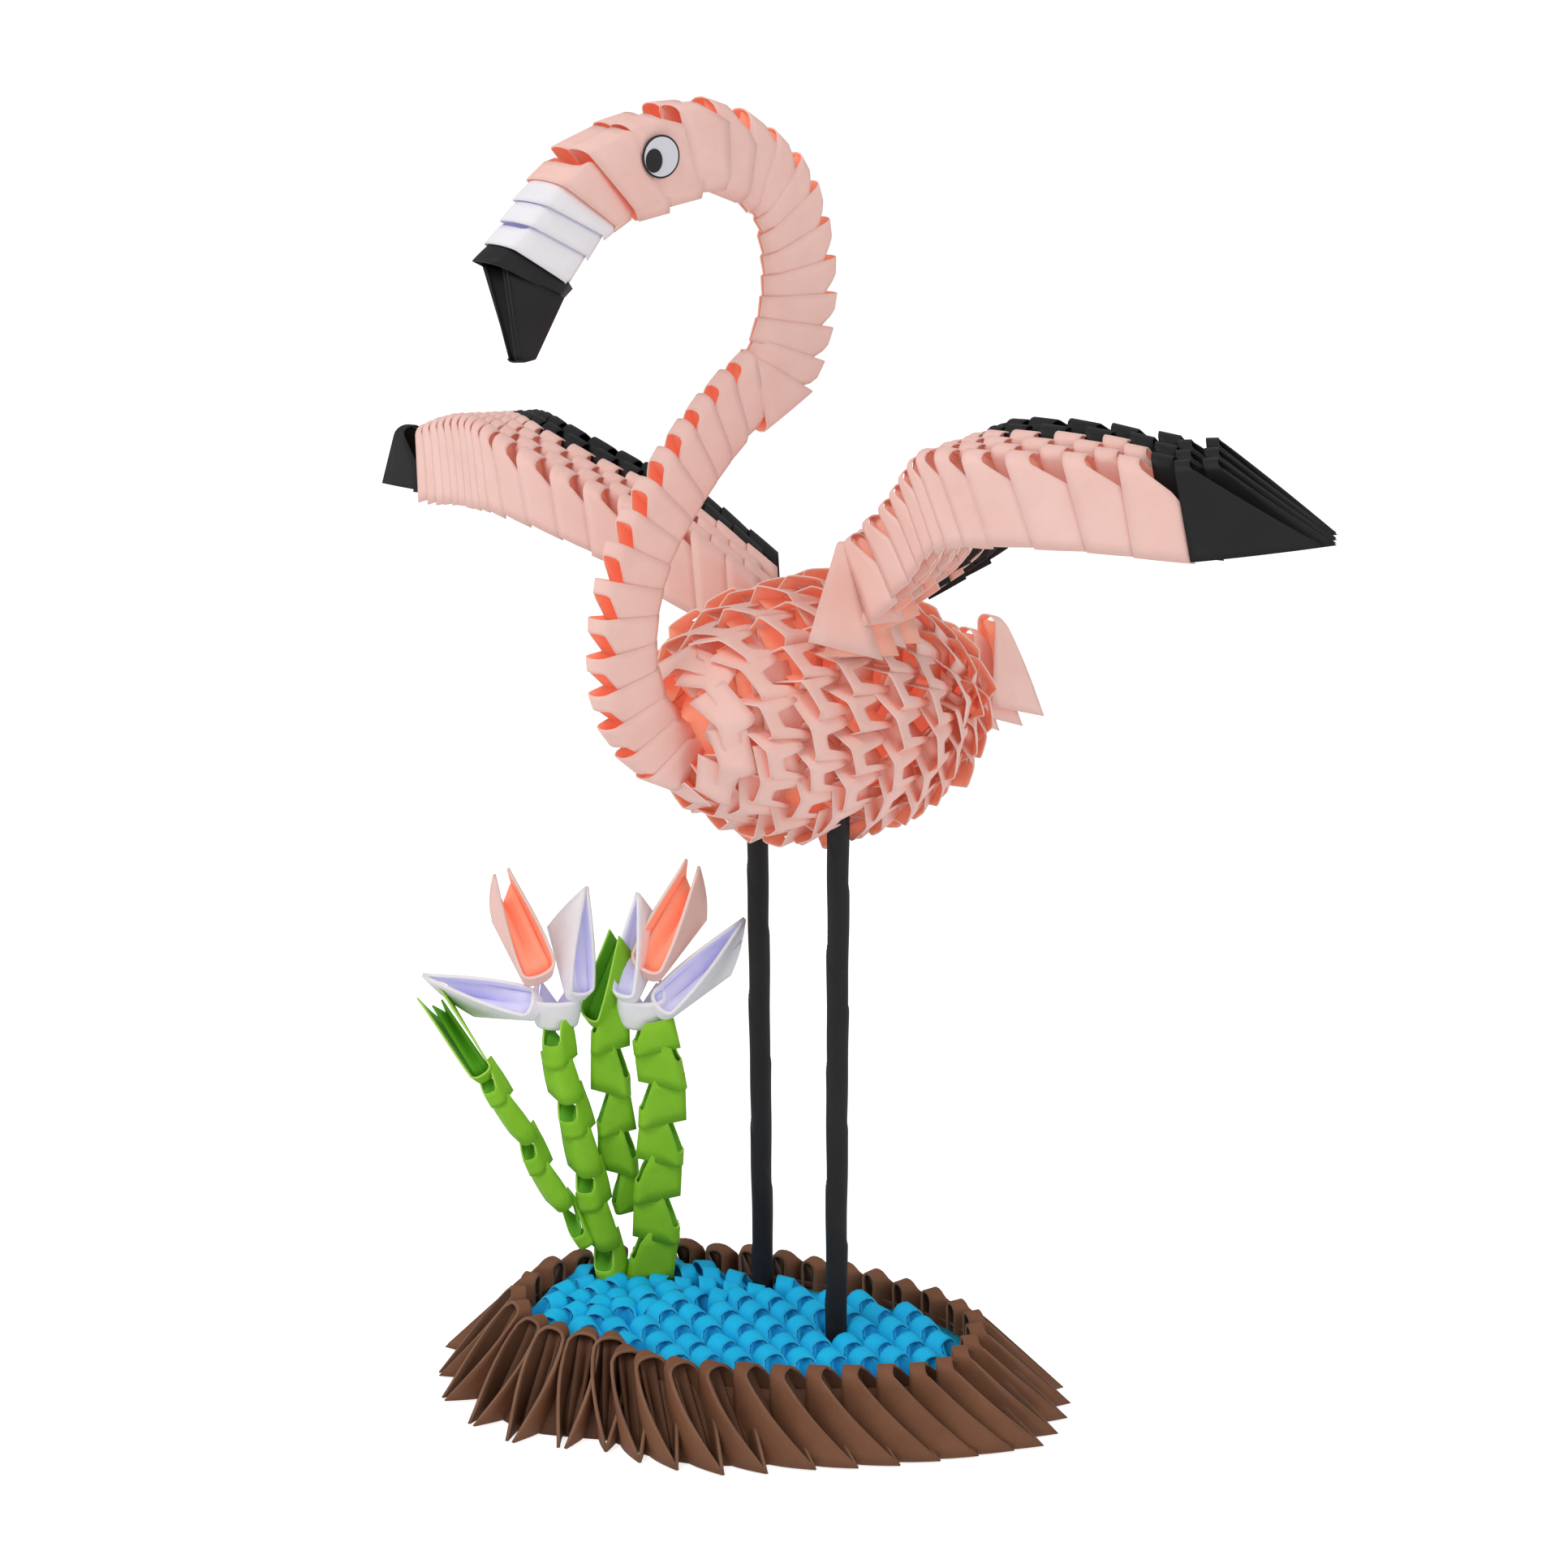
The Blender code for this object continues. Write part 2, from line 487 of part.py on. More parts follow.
def build_tail():
    rows = []
    half = TAIL_PLEAT_WIDTH / 2
    for x, top, low, rear in TAIL_PLEATS:
        corners = [vec(x, *top), vec(x, *low), vec(x, *rear)]
        rows.append(move(corners, vec(half, 0, 0)))
        inner = corners[0].lerp(corners[1], 0.5)
        rows.append([p.lerp(inner, 0.16) + vec(-half + 0.03, 0, 0) for p in corners])
    tail = loft("tail", rows, PINK)
    cut(tail, envelope("tail_trimmer"))


def rim_stations():
    inner = smooth([(a, b, 0.0) for a, b, c, d in RIM_PAIRS], RIM_UNITS, True)
    outer = smooth([(c, d, 0.0) for a, b, c, d in RIM_PAIRS], RIM_UNITS, True)
    return list(zip(inner, outer))


def build_rim():
    rows = []
    stations = rim_stations()
    for index in range(RIM_UNITS):
        for half_step in (0, 1):
            inner, outer = stations[index]
            if half_step:
                after = stations[(index + 1) % RIM_UNITS]
                inner = inner.lerp(after[0], 0.5)
                outer = outer.lerp(after[1], 0.5)
                outer = inner.lerp(outer, 0.72)
            top = RIM_TOP if not half_step else RIM_TOP - 0.14
            out = (outer - inner).normalized()
            rows.append([inner, inner + vec(0, 0, top), inner + out * 0.22 + vec(0, 0, top - 0.04),
                         outer + vec(0, 0, 0.04), outer])
    loft("pond_rim", rows, BROWN, ring=True)


def inset_outline(distance):
    points = [pair[0] for pair in rim_stations()]
    result = []
    for index, point in enumerate(points):
        before = points[index - 1]
        after = points[(index + 1) % len(points)]
        tangent = (after - before).normalized()
        result.append(point + vec(-tangent.y, tangent.x, 0) * distance)
    return result


def build_pond():
    edge = inset_outline(GAP * 1.5)
    centre = vec(*POND_CENTRE, 0)
    rows = [list(edge), [p + vec(0, 0, POND_TOP - 0.1) for p in edge]]
    for number, scale in enumerate(POND_RINGS):
        crest = []
        trough = []
        for index, p in enumerate(edge):
            flip = (index + number) % 2
            crest.append(centre + (p - centre) * scale + vec(0, 0, POND_TOP if flip else POND_TOP - 0.1))
            trough.append(centre + (p - centre) * (scale - 0.09) + vec(0, 0, POND_TOP - (0.30 if flip else 0.16)))
        rows += [crest, trough]
    pond = loft("pond", rows, BLUE)
    for name, (foot, top) in LEG_LINES.items():
        cut(pond, rod(name + "_hole", foot, top, LEG_FOOT - GAP, POND_TOP + 0.5, SOCKET_RADIUS, BLACK, True))
    for number, line in enumerate((STALK_2, STALK_4)):
        low = line[-1]
        work = bmesh.new()
        wide, deep = low[3] + STALK_HOLE_MARGIN[0], low[4] + STALK_HOLE_MARGIN[1]
        size = Matrix.Diagonal((2 * wide * CM, 2 * deep * CM, STALK_HOLE_HEIGHT * CM, 1))
        height = low[2] - GAP + STALK_HOLE_HEIGHT / 2
        turn = Matrix.Rotation(radians(STALK_TURN), 4, "Z")
        place = Matrix.Translation(vec(low[0], low[1], height) * CM) @ turn
        bmesh.ops.create_cube(work, size=1.0, matrix=place @ size)
        cut(pond, as_cutter(add_object("stalk_hole_%d" % number, work, BLUE)))


# A stalk is a chain of folded units that step alternately left and right
def build_stalk(name, line):
    rows = []
    for index, (x, y, z, half, depth) in enumerate(line):
        middle = vec(x, y, z)
        step = ACROSS * (0.07 if index % 2 else -0.07) * (1 if 0 < index < len(line) - 1 else 0)
        middle = middle + step
        outline = [middle - ACROSS * half - TOWARD * depth, middle + ACROSS * half - TOWARD * depth,
                   middle + ACROSS * half + TOWARD * depth, middle - ACROSS * half + TOWARD * depth]
        if 0 < index < len(line) - 1:
            rows.append(move([middle.lerp(p, 0.82) for p in outline], vec(0, 0, 0.06)))
        rows.append(outline)
    loft(name, rows, GREEN)


# A petal is a folded unit standing on its nose, open towards the pond's front
def petal_rows(bow, tip, half, half_tip, depth, grow=0.0):
    bow, tip = Vector(bow), Vector(tip)
    rise = (tip - bow).normalized()
    across = ACROSS - rise * ACROSS.dot(rise)
    if across.length < 0.5:
        across = vec(0, 0, 1) - rise * rise.z
    across.normalize()
    out = across.cross(rise)
    if out.dot(TOWARD) < 0:
        out.negate()
    bow = bow - rise * grow
    tip = tip + rise * grow
    rows = []
    sections = ((0.0, half, depth, 0.2), (0.35, half * 1.1, depth, 0.7), (1.0, half_tip, 0.06, 0.3))
    for share, wide, deep, groove in sections:
        middle = bow.lerp(tip, share)
        reach = deep * 0.5 + grow
        floor = reach if grow else deep * (0.5 - groove)
        rows.append([middle - across * (wide + grow) + out * reach, middle - out * reach,
                     middle + across * (wide + grow) + out * reach, middle + out * floor])
    return rows


def cup_rows(bow, grow=0.0):
    rows = []
    for height, half, depth in ((-grow, 0.28, 0.22), (0.30, 0.42, 0.27), (0.66 + grow, 0.46, 0.29)):
        middle = bow + vec(0, 0, height)
        wide, deep = half + grow, depth + grow
        rows.append([middle - ACROSS * wide - TOWARD * deep, middle + ACROSS * wide - TOWARD * deep,
                     middle + ACROSS * wide + TOWARD * deep, middle - ACROSS * wide + TOWARD * deep])
    return rows


def build_flower(number, flower):
    bow = Vector(flower["white"][0][0])
    label = "flower_%d" % number
    base = loft(label + "_white", cup_rows(bow), WHITE)
    low, high = flower["pink"]
    heart = loft(label + "_pink", petal_rows(low, high, 0.24, 0.12, 0.36), PINK)
    cut(heart, as_cutter(loft(label + "_cup_space", cup_rows(bow, GAP), WHITE)))
    for side, (arm_bow, arm_tip) in (("left", flower["white"][1]), ("right", flower["white"][2])):
        arm_rows = petal_rows(arm_bow, arm_tip, 0.26, 0.05, 0.40)
        arm = as_cutter(loft("%s_%s_arm" % (label, side), arm_rows, WHITE))
        modifier = base.modifiers.new("join_" + side, "BOOLEAN")
        modifier.operation = "UNION"
        modifier.solver = "EXACT"
        modifier.object = arm
        space = petal_rows(arm_bow, arm_tip, 0.26, 0.05, 0.40, GAP * 1.4)
        cut(heart, as_cutter(loft("%s_%s_space" % (label, side), space, WHITE)))


for item in list(bpy.data.objects):
    bpy.data.objects.remove(item, do_unlink=True)

build_beak()
build_neck()
build_eyes()
build_body()
build_wings()
build_tail()
for leg, (leg_foot, leg_top) in LEG_LINES.items():
    rod(leg, leg_foot, leg_top, LEG_FOOT, LEG_TOP, LEG_RADIUS, BLACK)
build_rim()
build_pond()
build_stalk("stalk_1", STALK_1)
build_stalk("stalk_2", STALK_2)
build_stalk("stalk_3", STALK_3)
build_stalk("stalk_4", STALK_4)
build_flower(1, FLOWER_1)
build_flower(2, FLOWER_2)
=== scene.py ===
import random
from math import cos, floor, pi, radians, sin

import bmesh
import bpy
from mathutils import Matrix, Vector


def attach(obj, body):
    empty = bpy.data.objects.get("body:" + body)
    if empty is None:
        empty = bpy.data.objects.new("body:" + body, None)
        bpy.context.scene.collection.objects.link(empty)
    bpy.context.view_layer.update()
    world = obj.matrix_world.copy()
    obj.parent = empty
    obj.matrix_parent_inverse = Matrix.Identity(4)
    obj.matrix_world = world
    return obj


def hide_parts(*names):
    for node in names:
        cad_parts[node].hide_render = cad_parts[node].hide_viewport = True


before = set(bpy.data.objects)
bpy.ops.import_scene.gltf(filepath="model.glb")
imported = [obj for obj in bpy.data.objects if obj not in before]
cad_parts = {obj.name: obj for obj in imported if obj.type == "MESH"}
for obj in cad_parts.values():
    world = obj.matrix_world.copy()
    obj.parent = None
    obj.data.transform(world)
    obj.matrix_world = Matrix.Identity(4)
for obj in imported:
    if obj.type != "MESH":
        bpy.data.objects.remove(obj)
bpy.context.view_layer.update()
random.seed(7)

# Places and lengths are in centimetres, as in the part's source
CM = 0.01
MM = 0.001
ACROSS = Vector((0.695, 0.719, 0.0))
TOWARD = Vector((0.719, -0.695, 0.0))
UP = Vector((0.0, 0.0, 1.0))
AWAY = Vector((-0.696, 0.667, -0.265))

# Paper as thick as its folds look: one fold, fuller folds, many layers together, and a rolled sheet
PAPER = 0.028
FULL_PAPER = 0.04
THICK_PAPER = 0.065
ROLLED_PAPER = 0.02
# The material slot of the inner folds, which have the inside colour on both sides: painted shade or a
# painted bounce glow, as each colour has it
PAINTED_LIGHT_SLOT = 3

# A unit's rim: how much of each half is the round nose, and where its inner ends start to close
ROUND_SHARE = 0.4
PINCH_FROM = 0.75
NOSE_BAND = 0.27
FLAP_SWELL = 0.018
# The inner folds of a unit in a chain: how far behind the nose they start, the share of the rim where they
# end, their width beside the flaps', and how high their crease lies beside their sides
FOLD_START = 0.04
FOLD_END = 0.82
FOLD_WIDTH = 0.94
CREASE = 0.55
# The inner folds of a unit seen whole: how high their crease and their sides lie at the rim's inner end
WHOLE_CREASE = 0.26
WHOLE_SIDES = 0.70

# Nose y and z, inner end y and z, half width, from the beak's band to the back of the neck
UPPER_NECK = [
    (-7.49, 22.80, -5.76, 21.95, 0.36), (-7.20, 23.07, -5.65, 22.17, 0.40),
    (-6.83, 23.42, -5.16, 22.59, 0.44), (-6.52, 23.75, -4.78, 22.90, 0.48),
    (-6.17, 24.08, -4.55, 23.02, 0.52), (-5.55, 24.57, -4.25, 23.21, 0.55),
    (-4.57, 24.92, -3.70, 23.38, 0.55), (-3.40, 25.17, -2.95, 23.59, 0.55),
    (-2.39, 25.22, -2.31, 23.56, 0.42), (-1.47, 24.96, -1.64, 23.40, 0.32),
    (-0.73, 24.56, -1.30, 23.18, 0.28), (-0.07, 24.07, -1.12, 22.92, 0.25),
    (0.37, 23.52, -1.03, 22.63, 0.24), (0.66, 22.84, -0.96, 22.25, 0.24),
    (0.83, 22.12, -0.94, 21.90, 0.24), (0.86, 21.44, -0.97, 21.54, 0.24),
    (0.77, 20.80, -1.07, 21.17, 0.24), (0.55, 20.19, -1.15, 20.81, 0.24),
    (0.23, 19.65, -1.20, 20.48, 0.24),
]
HEAD_UNITS = ("beak_band", "white_1", "white_2", "white_3", "forehead", "head_1", "head_2", "head_3")
WHITE_UNITS = 3
HEAD_PAIRS = (5, 6, 7)
# A head unit of a pair: its half width and its place as shares of the head's half width, how fast it
# leans out, and the depth of its nose and its band
PAIR_HALF = 0.50
PAIR_PLACE = 0.40
PAIR_SPREAD = 0.07
PAIR_BOW = 0.14
PAIR_BAND = 0.40
NECK_HALF = 0.24
# Where the turn at the back of the neck closes: nose and inner end
NECK_TURN = ((0, -0.98, 19.05), (0, -1.36, 20.40))
# Nose y and z, inner end y and z, from the turn down to the breast
LOWER_NECK = [
    (-1.34, 20.62, -0.93, 19.25), (-1.90, 20.32, -1.36, 18.92), (-2.43, 19.95, -1.76, 18.60),
    (-2.92, 19.55, -2.11, 18.27), (-3.41, 19.11, -2.43, 17.95), (-3.87, 18.63, -2.73, 17.62),
    (-4.29, 18.12, -3.02, 17.27), (-4.65, 17.57, -3.24, 16.89), (-4.93, 16.92, -3.41, 16.49),
    (-5.11, 16.22, -3.53, 16.06), (-5.18, 15.50, -3.59, 15.59), (-5.14, 14.80, -3.55, 15.10),
    (-4.94, 14.14, -3.43, 14.60), (-4.52, 13.54, -3.14, 14.15), (-4.01, 13.06, -2.84, 13.75),
    (-3.40, 12.72, -2.60, 13.45),
]
FIRST_LOWER_UNIT = 12

BEAK_NOSE = Vector((0, -6.62, 21.02))
BEAK_NOSE_LENGTH = 0.42
BEAK_FRONT = Vector((0, -7.20, 22.66))
BEAK_BACK = Vector((0, -5.92, 22.05))
BEAK_LOW_HALF = 0.13
BEAK_WIDENS = 0.20

EYE_OUT = 0.635
EYE_Y = -3.94
EYE_Z = 24.33
EYE_TURN = radians(12)
EYE_DISC = 0.014
# Radius, lift, shift forwards, stretch up and material of each printed disc
EYE_DISCS = ((0.37, 0.0, 0.0, 1.02, 0), (0.335, 0.01, 0.0, 1.02, 1), (0.165, 0.02, 0.15, 1.25, 0))

# Middle y and z and the radius of each ring, from the breast to the tail
BODY_RINGS = [
    (-2.95, 13.80, 1.15), (-2.40, 13.78, 1.75), (-1.65, 13.72, 2.18), (-0.85, 13.66, 2.47),
    (0.05, 13.62, 2.60), (1.00, 13.55, 2.60), (1.95, 13.45, 2.42), (2.80, 13.35, 2.08),
    (3.55, 13.25, 1.62), (4.25, 13.20, 1.05),
]
BODY_UNIT_WIDTH = 0.81
BODY_BAND = 0.34
BODY_ARM = 0.70
# Hand work: how far units lean along the body and stand out of their ring, how much their noses twist,
# and the degrees that their flaps turn inwards
BODY_LEAN = 0.08
BODY_UNEVEN = 0.07
BODY_TWISTS = (0.16, 0.42)
BODY_TURNS = (38, 80)
# The core's radius as a share of the rings'
CORE_SHARE = 0.68
CORE_MIDDLE = Vector((0, 0, 13.4))

# Nose and inner end of each unit in a wing's front column, and the way to the back column at even steps
LEFT_WING = [
    ((1.21, -0.02, 16.99), (1.95, -1.50, 15.39)), ((1.42, -0.12, 17.18), (2.10, -0.12, 15.64)),
    ((2.11, -0.34, 17.66), (2.95, -0.36, 16.36)), ((2.85, -0.68, 18.12), (3.66, -0.64, 16.82)),
    ((3.45, -1.00, 18.52), (4.22, -0.98, 17.20)), ((4.02, -1.35, 18.93), (4.70, -1.28, 17.48)),
    ((4.58, -1.72, 19.30), (5.14, -1.50, 17.70)), ((5.10, -2.05, 19.55), (5.58, -1.70, 17.90)),
    ((5.66, -2.20, 19.68), (6.08, -1.80, 18.04)), ((6.26, -2.17, 19.72), (6.64, -1.80, 18.12)),
    ((6.97, -1.88, 19.75), (7.36, -1.48, 18.13)), ((7.75, -1.33, 19.76), (8.05, -0.96, 18.10)),
    ((8.47, -0.75, 19.74), (8.67, -0.50, 18.03)), ((9.18, -0.15, 19.65), (9.40, 0.10, 17.97)),
]
LEFT_BACK = (
    (-0.25, 0.93, 0.12), (0.0, 0.95, 0.06), (0.0, 0.95, 0.05), (-0.35, 0.92, 0.12), (-0.62, 0.78, 0.04),
)
LEFT_POINT = Vector((11.22, 1.36, 18.30))
RIGHT_WING = [
    ((-11.13, -0.47, 17.69), (-11.63, -0.49, 16.44)), ((-10.49, -0.50, 17.79), (-10.55, -0.42, 16.19)),
    ((-10.12, -0.62, 17.92), (-10.15, -0.50, 16.22)), ((-9.73, -0.74, 18.05), (-9.75, -0.60, 16.28)),
    ((-9.35, -0.86, 18.15), (-9.35, -0.72, 16.36)), ((-8.92, -1.03, 18.26), (-8.93, -0.85, 16.44)),
    ((-8.49, -1.20, 18.35), (-8.52, -1.02, 16.52)), ((-8.07, -1.36, 18.42), (-8.11, -1.18, 16.58)),
    ((-7.65, -1.55, 18.45), (-7.70, -1.35, 16.66)), ((-7.22, -1.75, 18.45), (-7.28, -1.52, 16.74)),
    ((-6.80, -1.90, 18.42), (-6.86, -1.65, 16.78)), ((-6.29, -2.02, 18.32), (-6.34, -1.72, 16.80)),
    ((-5.64, -1.98, 18.13), (-5.68, -1.66, 16.71)), ((-4.94, -1.75, 17.87), (-5.00, -1.46, 16.51)),
    ((-4.28, -1.50, 17.62), (-4.36, -1.20, 16.19)), ((-3.62, -1.23, 17.41), (-3.74, -0.90, 15.83)),
    ((-2.98, -0.90, 17.15), (-3.12, -0.55, 15.45)), ((-2.38, -0.52, 16.80), (-2.55, -0.18, 15.10)),
    ((-1.85, -0.12, 16.35), (-2.05, 0.20, 14.75)), ((-1.40, 0.25, 15.95), (-1.60, 0.55, 14.50)),
]
RIGHT_BACK = ((-0.10, 0.97, -0.11), (-0.15, 0.96, -0.11), (-0.30, 0.93, 0.02), (-0.69, 0.70, 0.15))
WING_COLUMN = 0.40
WING_HALF = 0.26
WING_BAND = 0.25
WING_SLOPE = 0.95
PINK_COLUMNS = 4
ALL_COLUMNS = 6
# How far along its own column a wing's black end starts: the right wing's is at its start
LEFT_TIP_FROM = 12.4
RIGHT_TIP_UNTIL = 0.6

# The place across, top y and z, inner end y and z, and point y and z of each unit of the tail
TAIL = (
    (0.62, (4.45, 14.90), (4.42, 13.10), (6.02, 12.59)),
    (0.20, (4.30, 14.60), (4.30, 12.90), (5.86, 12.34)),
    (-0.22, (4.22, 14.35), (4.25, 12.80), (5.64, 12.20)),
    (-0.64, (4.18, 14.10), (4.20, 12.75), (5.40, 12.14)),
)

TAIL_HALF = 0.25

POND_TOP = 1.62
RIM_TOP = 1.85
# Foot x and y and top x and y of each leg
LEG_LINES = {"left_leg": ((1.20, -0.14), (1.26, -0.19)), "right_leg": ((-1.53, 0.50), (-1.46, 0.29))}
LEG_TURNS = {"left_leg": 4.5, "right_leg": 4.0}
LEG_RADIUS = 0.215
# How much the free edge of the roll stands up, and how uneven the roll is
LEG_SEAM = 0.022
LEG_UNEVEN = 0.004
LEG_FOOT = POND_TOP - 0.40
LEG_TOP = 11.9

# Inner x and y and outer x and y of each unit of the pond's rim
RIM_PAIRS = [
    (-4.41, -2.98, -6.10, -3.94), (-4.05, -3.60, -5.10, -4.95), (-3.50, -4.00, -4.10, -5.65),
    (-2.80, -4.22, -2.80, -6.02), (-2.15, -4.30, -1.70, -5.98), (-1.60, -4.05, -0.80, -5.45),
    (-1.15, -3.85, -0.10, -4.95), (-0.60, -4.00, 0.70, -4.80), (-0.02, -4.02, 1.43, -4.51),
    (0.57, -3.81, 2.18, -4.03), (1.10, -3.43, 2.70, -3.40), (1.62, -3.07, 3.20, -2.62),
    (2.14, -2.65, 3.70, -2.00), (2.58, -2.15, 4.16, -1.35), (3.02, -1.67, 4.54, -0.66),
    (3.45, -1.20, 4.88, 0.02), (3.80, -0.70, 5.18, 0.68), (4.02, -0.20, 5.42, 1.24),
    (3.90, 0.35, 5.24, 1.84), (3.68, 0.85, 4.88, 2.50), (3.38, 1.32, 4.46, 3.05),
    (2.93, 1.74, 3.86, 3.50), (2.30, 1.95, 3.05, 3.72), (1.60, 1.98, 2.20, 3.78),
    (0.90, 1.90, 1.35, 3.70), (0.20, 1.78, 0.50, 3.58), (-0.50, 1.64, -0.35, 3.42),
    (-1.15, 1.42, -1.20, 3.20), (-1.75, 1.16, -2.05, 2.90), (-2.35, 0.86, -2.90, 2.52),
    (-2.95, 0.52, -3.70, 2.08), (-3.50, 0.14, -4.45, 1.56), (-4.00, -0.36, -5.20, 0.85),
    (-4.35, -0.95, -5.80, -0.05), (-4.55, -1.60, -6.20, -1.05), (-4.58, -2.28, -6.35, -2.45),
]
RIM_HALF = 0.20
RIM_FOOT_HALF = 0.13
RIM_BOW = 0.22
RIM_BAND = 0.30
RIM_SWELL = 1.1
# Half the gap between a unit's points: the units on the left, up to this x and y, stand open
RIM_OPEN = 0.10
RIM_SHUT = 0.02
RIM_OPEN_TO = (-1.4, -1.0)
RIM_BED_TOP = 1.32
RIM_BED_POINTS = 108
POND_EDGE_POINTS = 72
POND_MIDDLE = Vector((-1.3, -1.5, 0))
POND_MARGIN = 0.27
LEG_MARGIN = 0.30
# Water units stand in rings round the plants, and in rows over the rest of the pond
PLANTS = Vector((-3.4, -1.25, 0))
RINGS = 6
RING_STEP = 0.50
RING_UNIT = 0.55
ROWS_FROM = -1.0
ROWS_MIDDLE = Vector((1.5, -0.9, 0))
ROW_UNIT = 0.60
ROW_STEP = 0.72
ROWS_WAY = Vector((0.97, -0.10, 0))
WATER_HALF = 0.30
WATER_END_HALF = 0.28
WATER_BOW = 0.32
WATER_BAND = 0.26
WATER_LENGTH = 0.80
WATER_DEPTH = 0.9

# Points of each stalk from the foot up, then half its depth, half its width and how far its slots face
# the camera
STALKS = {
    "stalk_1": ([
        (-4.02, -1.92, 2.35), (-4.42, -2.32, 3.20), (-4.69, -2.60, 3.90), (-4.89, -2.81, 4.60),
        (-5.21, -3.14, 5.34), (-5.45, -3.38, 5.95),
    ], 0.24, 0.20, 1.7),
    "stalk_2": ([
        (-3.70, -1.58, 1.50), (-3.82, -1.70, 2.35), (-3.95, -1.83, 3.15), (-4.05, -1.93, 3.90),
        (-4.16, -2.05, 4.70), (-4.30, -2.20, 5.45), (-4.40, -2.30, 6.15), (-4.45, -2.35, 6.85),
    ], 0.28, 0.26, 1.5),
    "stalk_3": ([
        (-3.72, -1.00, 2.9), (-3.88, -1.25, 3.75), (-3.82, -1.30, 4.60), (-3.88, -1.42, 5.45),
        (-3.86, -1.42, 6.35), (-3.90, -1.40, 7.15),
    ], 0.36, 0.17, 0.2),
    "stalk_4": ([
        (-3.24, -1.00, 1.50), (-3.10, -0.95, 2.45), (-3.08, -0.92, 3.30), (-3.04, -0.90, 4.10),
        (-2.98, -0.84, 4.90), (-3.00, -0.84, 5.70), (-3.05, -0.90, 6.40), (-3.12, -0.98, 6.90),
    ], 0.44, 0.20, 0.15),
}
STALK_BAND = 0.26
STALK_SLOPE = 1.9
PETAL_BAND = 0.28
PETAL_SWELL = 0.3
# Half widths of a flower's cup at its nose, its inner end and its points, its height and its band
CUP_HALF = 0.42
CUP_END_HALF = 0.36
CUP_TIP_HALF = 0.30
CUP_HEIGHT = 1.25
CUP_BAND = 0.62
# Nose, point, the way its rim runs, half width at the nose and at the point
LEAVES = {
    "stalk_1": ((-5.38, -3.31, 5.70), (-6.17, -4.14, 7.56), AWAY, 0.20, 0.26),
    "stalk_3": ((-4.14, -1.66, 6.75), (-3.62, -1.50, 8.78), AWAY + ACROSS * 0.9, 0.24, 0.16),
}
# The nose of each flower's cup, its white petals and its pink one, each given as a leaf is
FLOWERS = {
    1: ((-4.43, -2.34, 6.75),
        (((-4.62, -2.53, 7.22), (-6.24, -4.21, 7.90), AWAY - UP * 0.45, 0.28, 0.04),
         ((-4.13, -2.02, 7.34), (-4.00, -1.86, 9.71), AWAY - ACROSS * 0.6, 0.24, 0.04)),
        ((-4.61, -2.52, 7.72), (-5.14, -3.07, 10.02), AWAY - ACROSS * 0.35, 0.33, 0.18)),
    2: ((-3.26, -1.12, 6.75),
        (((-3.49, -1.36, 7.30), (-3.30, -1.17, 9.60), AWAY + ACROSS * 0.5, 0.24, 0.04),
         ((-3.09, -0.95, 7.09), (-1.85, 0.33, 9.07), AWAY - UP * 0.3 + ACROSS * 0.2, 0.28, 0.04)),
        ((-3.24, -1.11, 7.84), (-2.55, -0.39, 10.20), AWAY + ACROSS * 0.45, 0.33, 0.18)),
}

CAMERA_PLACE = Vector((51.731, -49.955, 32.0))
CAMERA_WAY = Vector((-0.69616, 0.66704, -0.26537))
CAMERA_LENS = 90.73
# Places of the lamps in metres, their sizes and their power
LAMPS = {
    "key": ((0.10, -0.90, 1.40), 0.8, 8.2),
    "fill": ((1.30, 0.20, 0.70), 1.0, 3.9),
    "left_fill": ((-0.9, -0.9, 0.6), 1.0, 3.0),
}
LAMPS_AIM = Vector((0, 0, 0.12))
FLOOR_HALF = 6.0


def vec(*values):
    return Vector(values)


# Materials

# The tone of the paper changes in soft clouds. Its real fibres are about 0.03 mm wide, too fine to show,
# so the grain is drawn coarser
CLOUD = 11.1 * MM
GRAIN = 0.67 * MM
GRAIN_HEIGHT = 0.2 * MM


def srgb(code):
    linear = []
    for place in (0, 2, 4):
        value = int(code[place:place + 2], 16) / 255
        linear.append(value / 12.92 if value <= 0.04045 else ((value + 0.055) / 1.055) ** 2.4)
    return linear + [1.0]


def node(tree, kind, inputs=None, **settings):
    made = tree.nodes.new(kind)
    for key, value in settings.items():
        setattr(made, key, value)
    for key, value in (inputs or {}).items():
        if isinstance(value, bpy.types.NodeSocket):
            tree.links.new(value, made.inputs[key])
        else:
            made.inputs[key].default_value = value
    return made


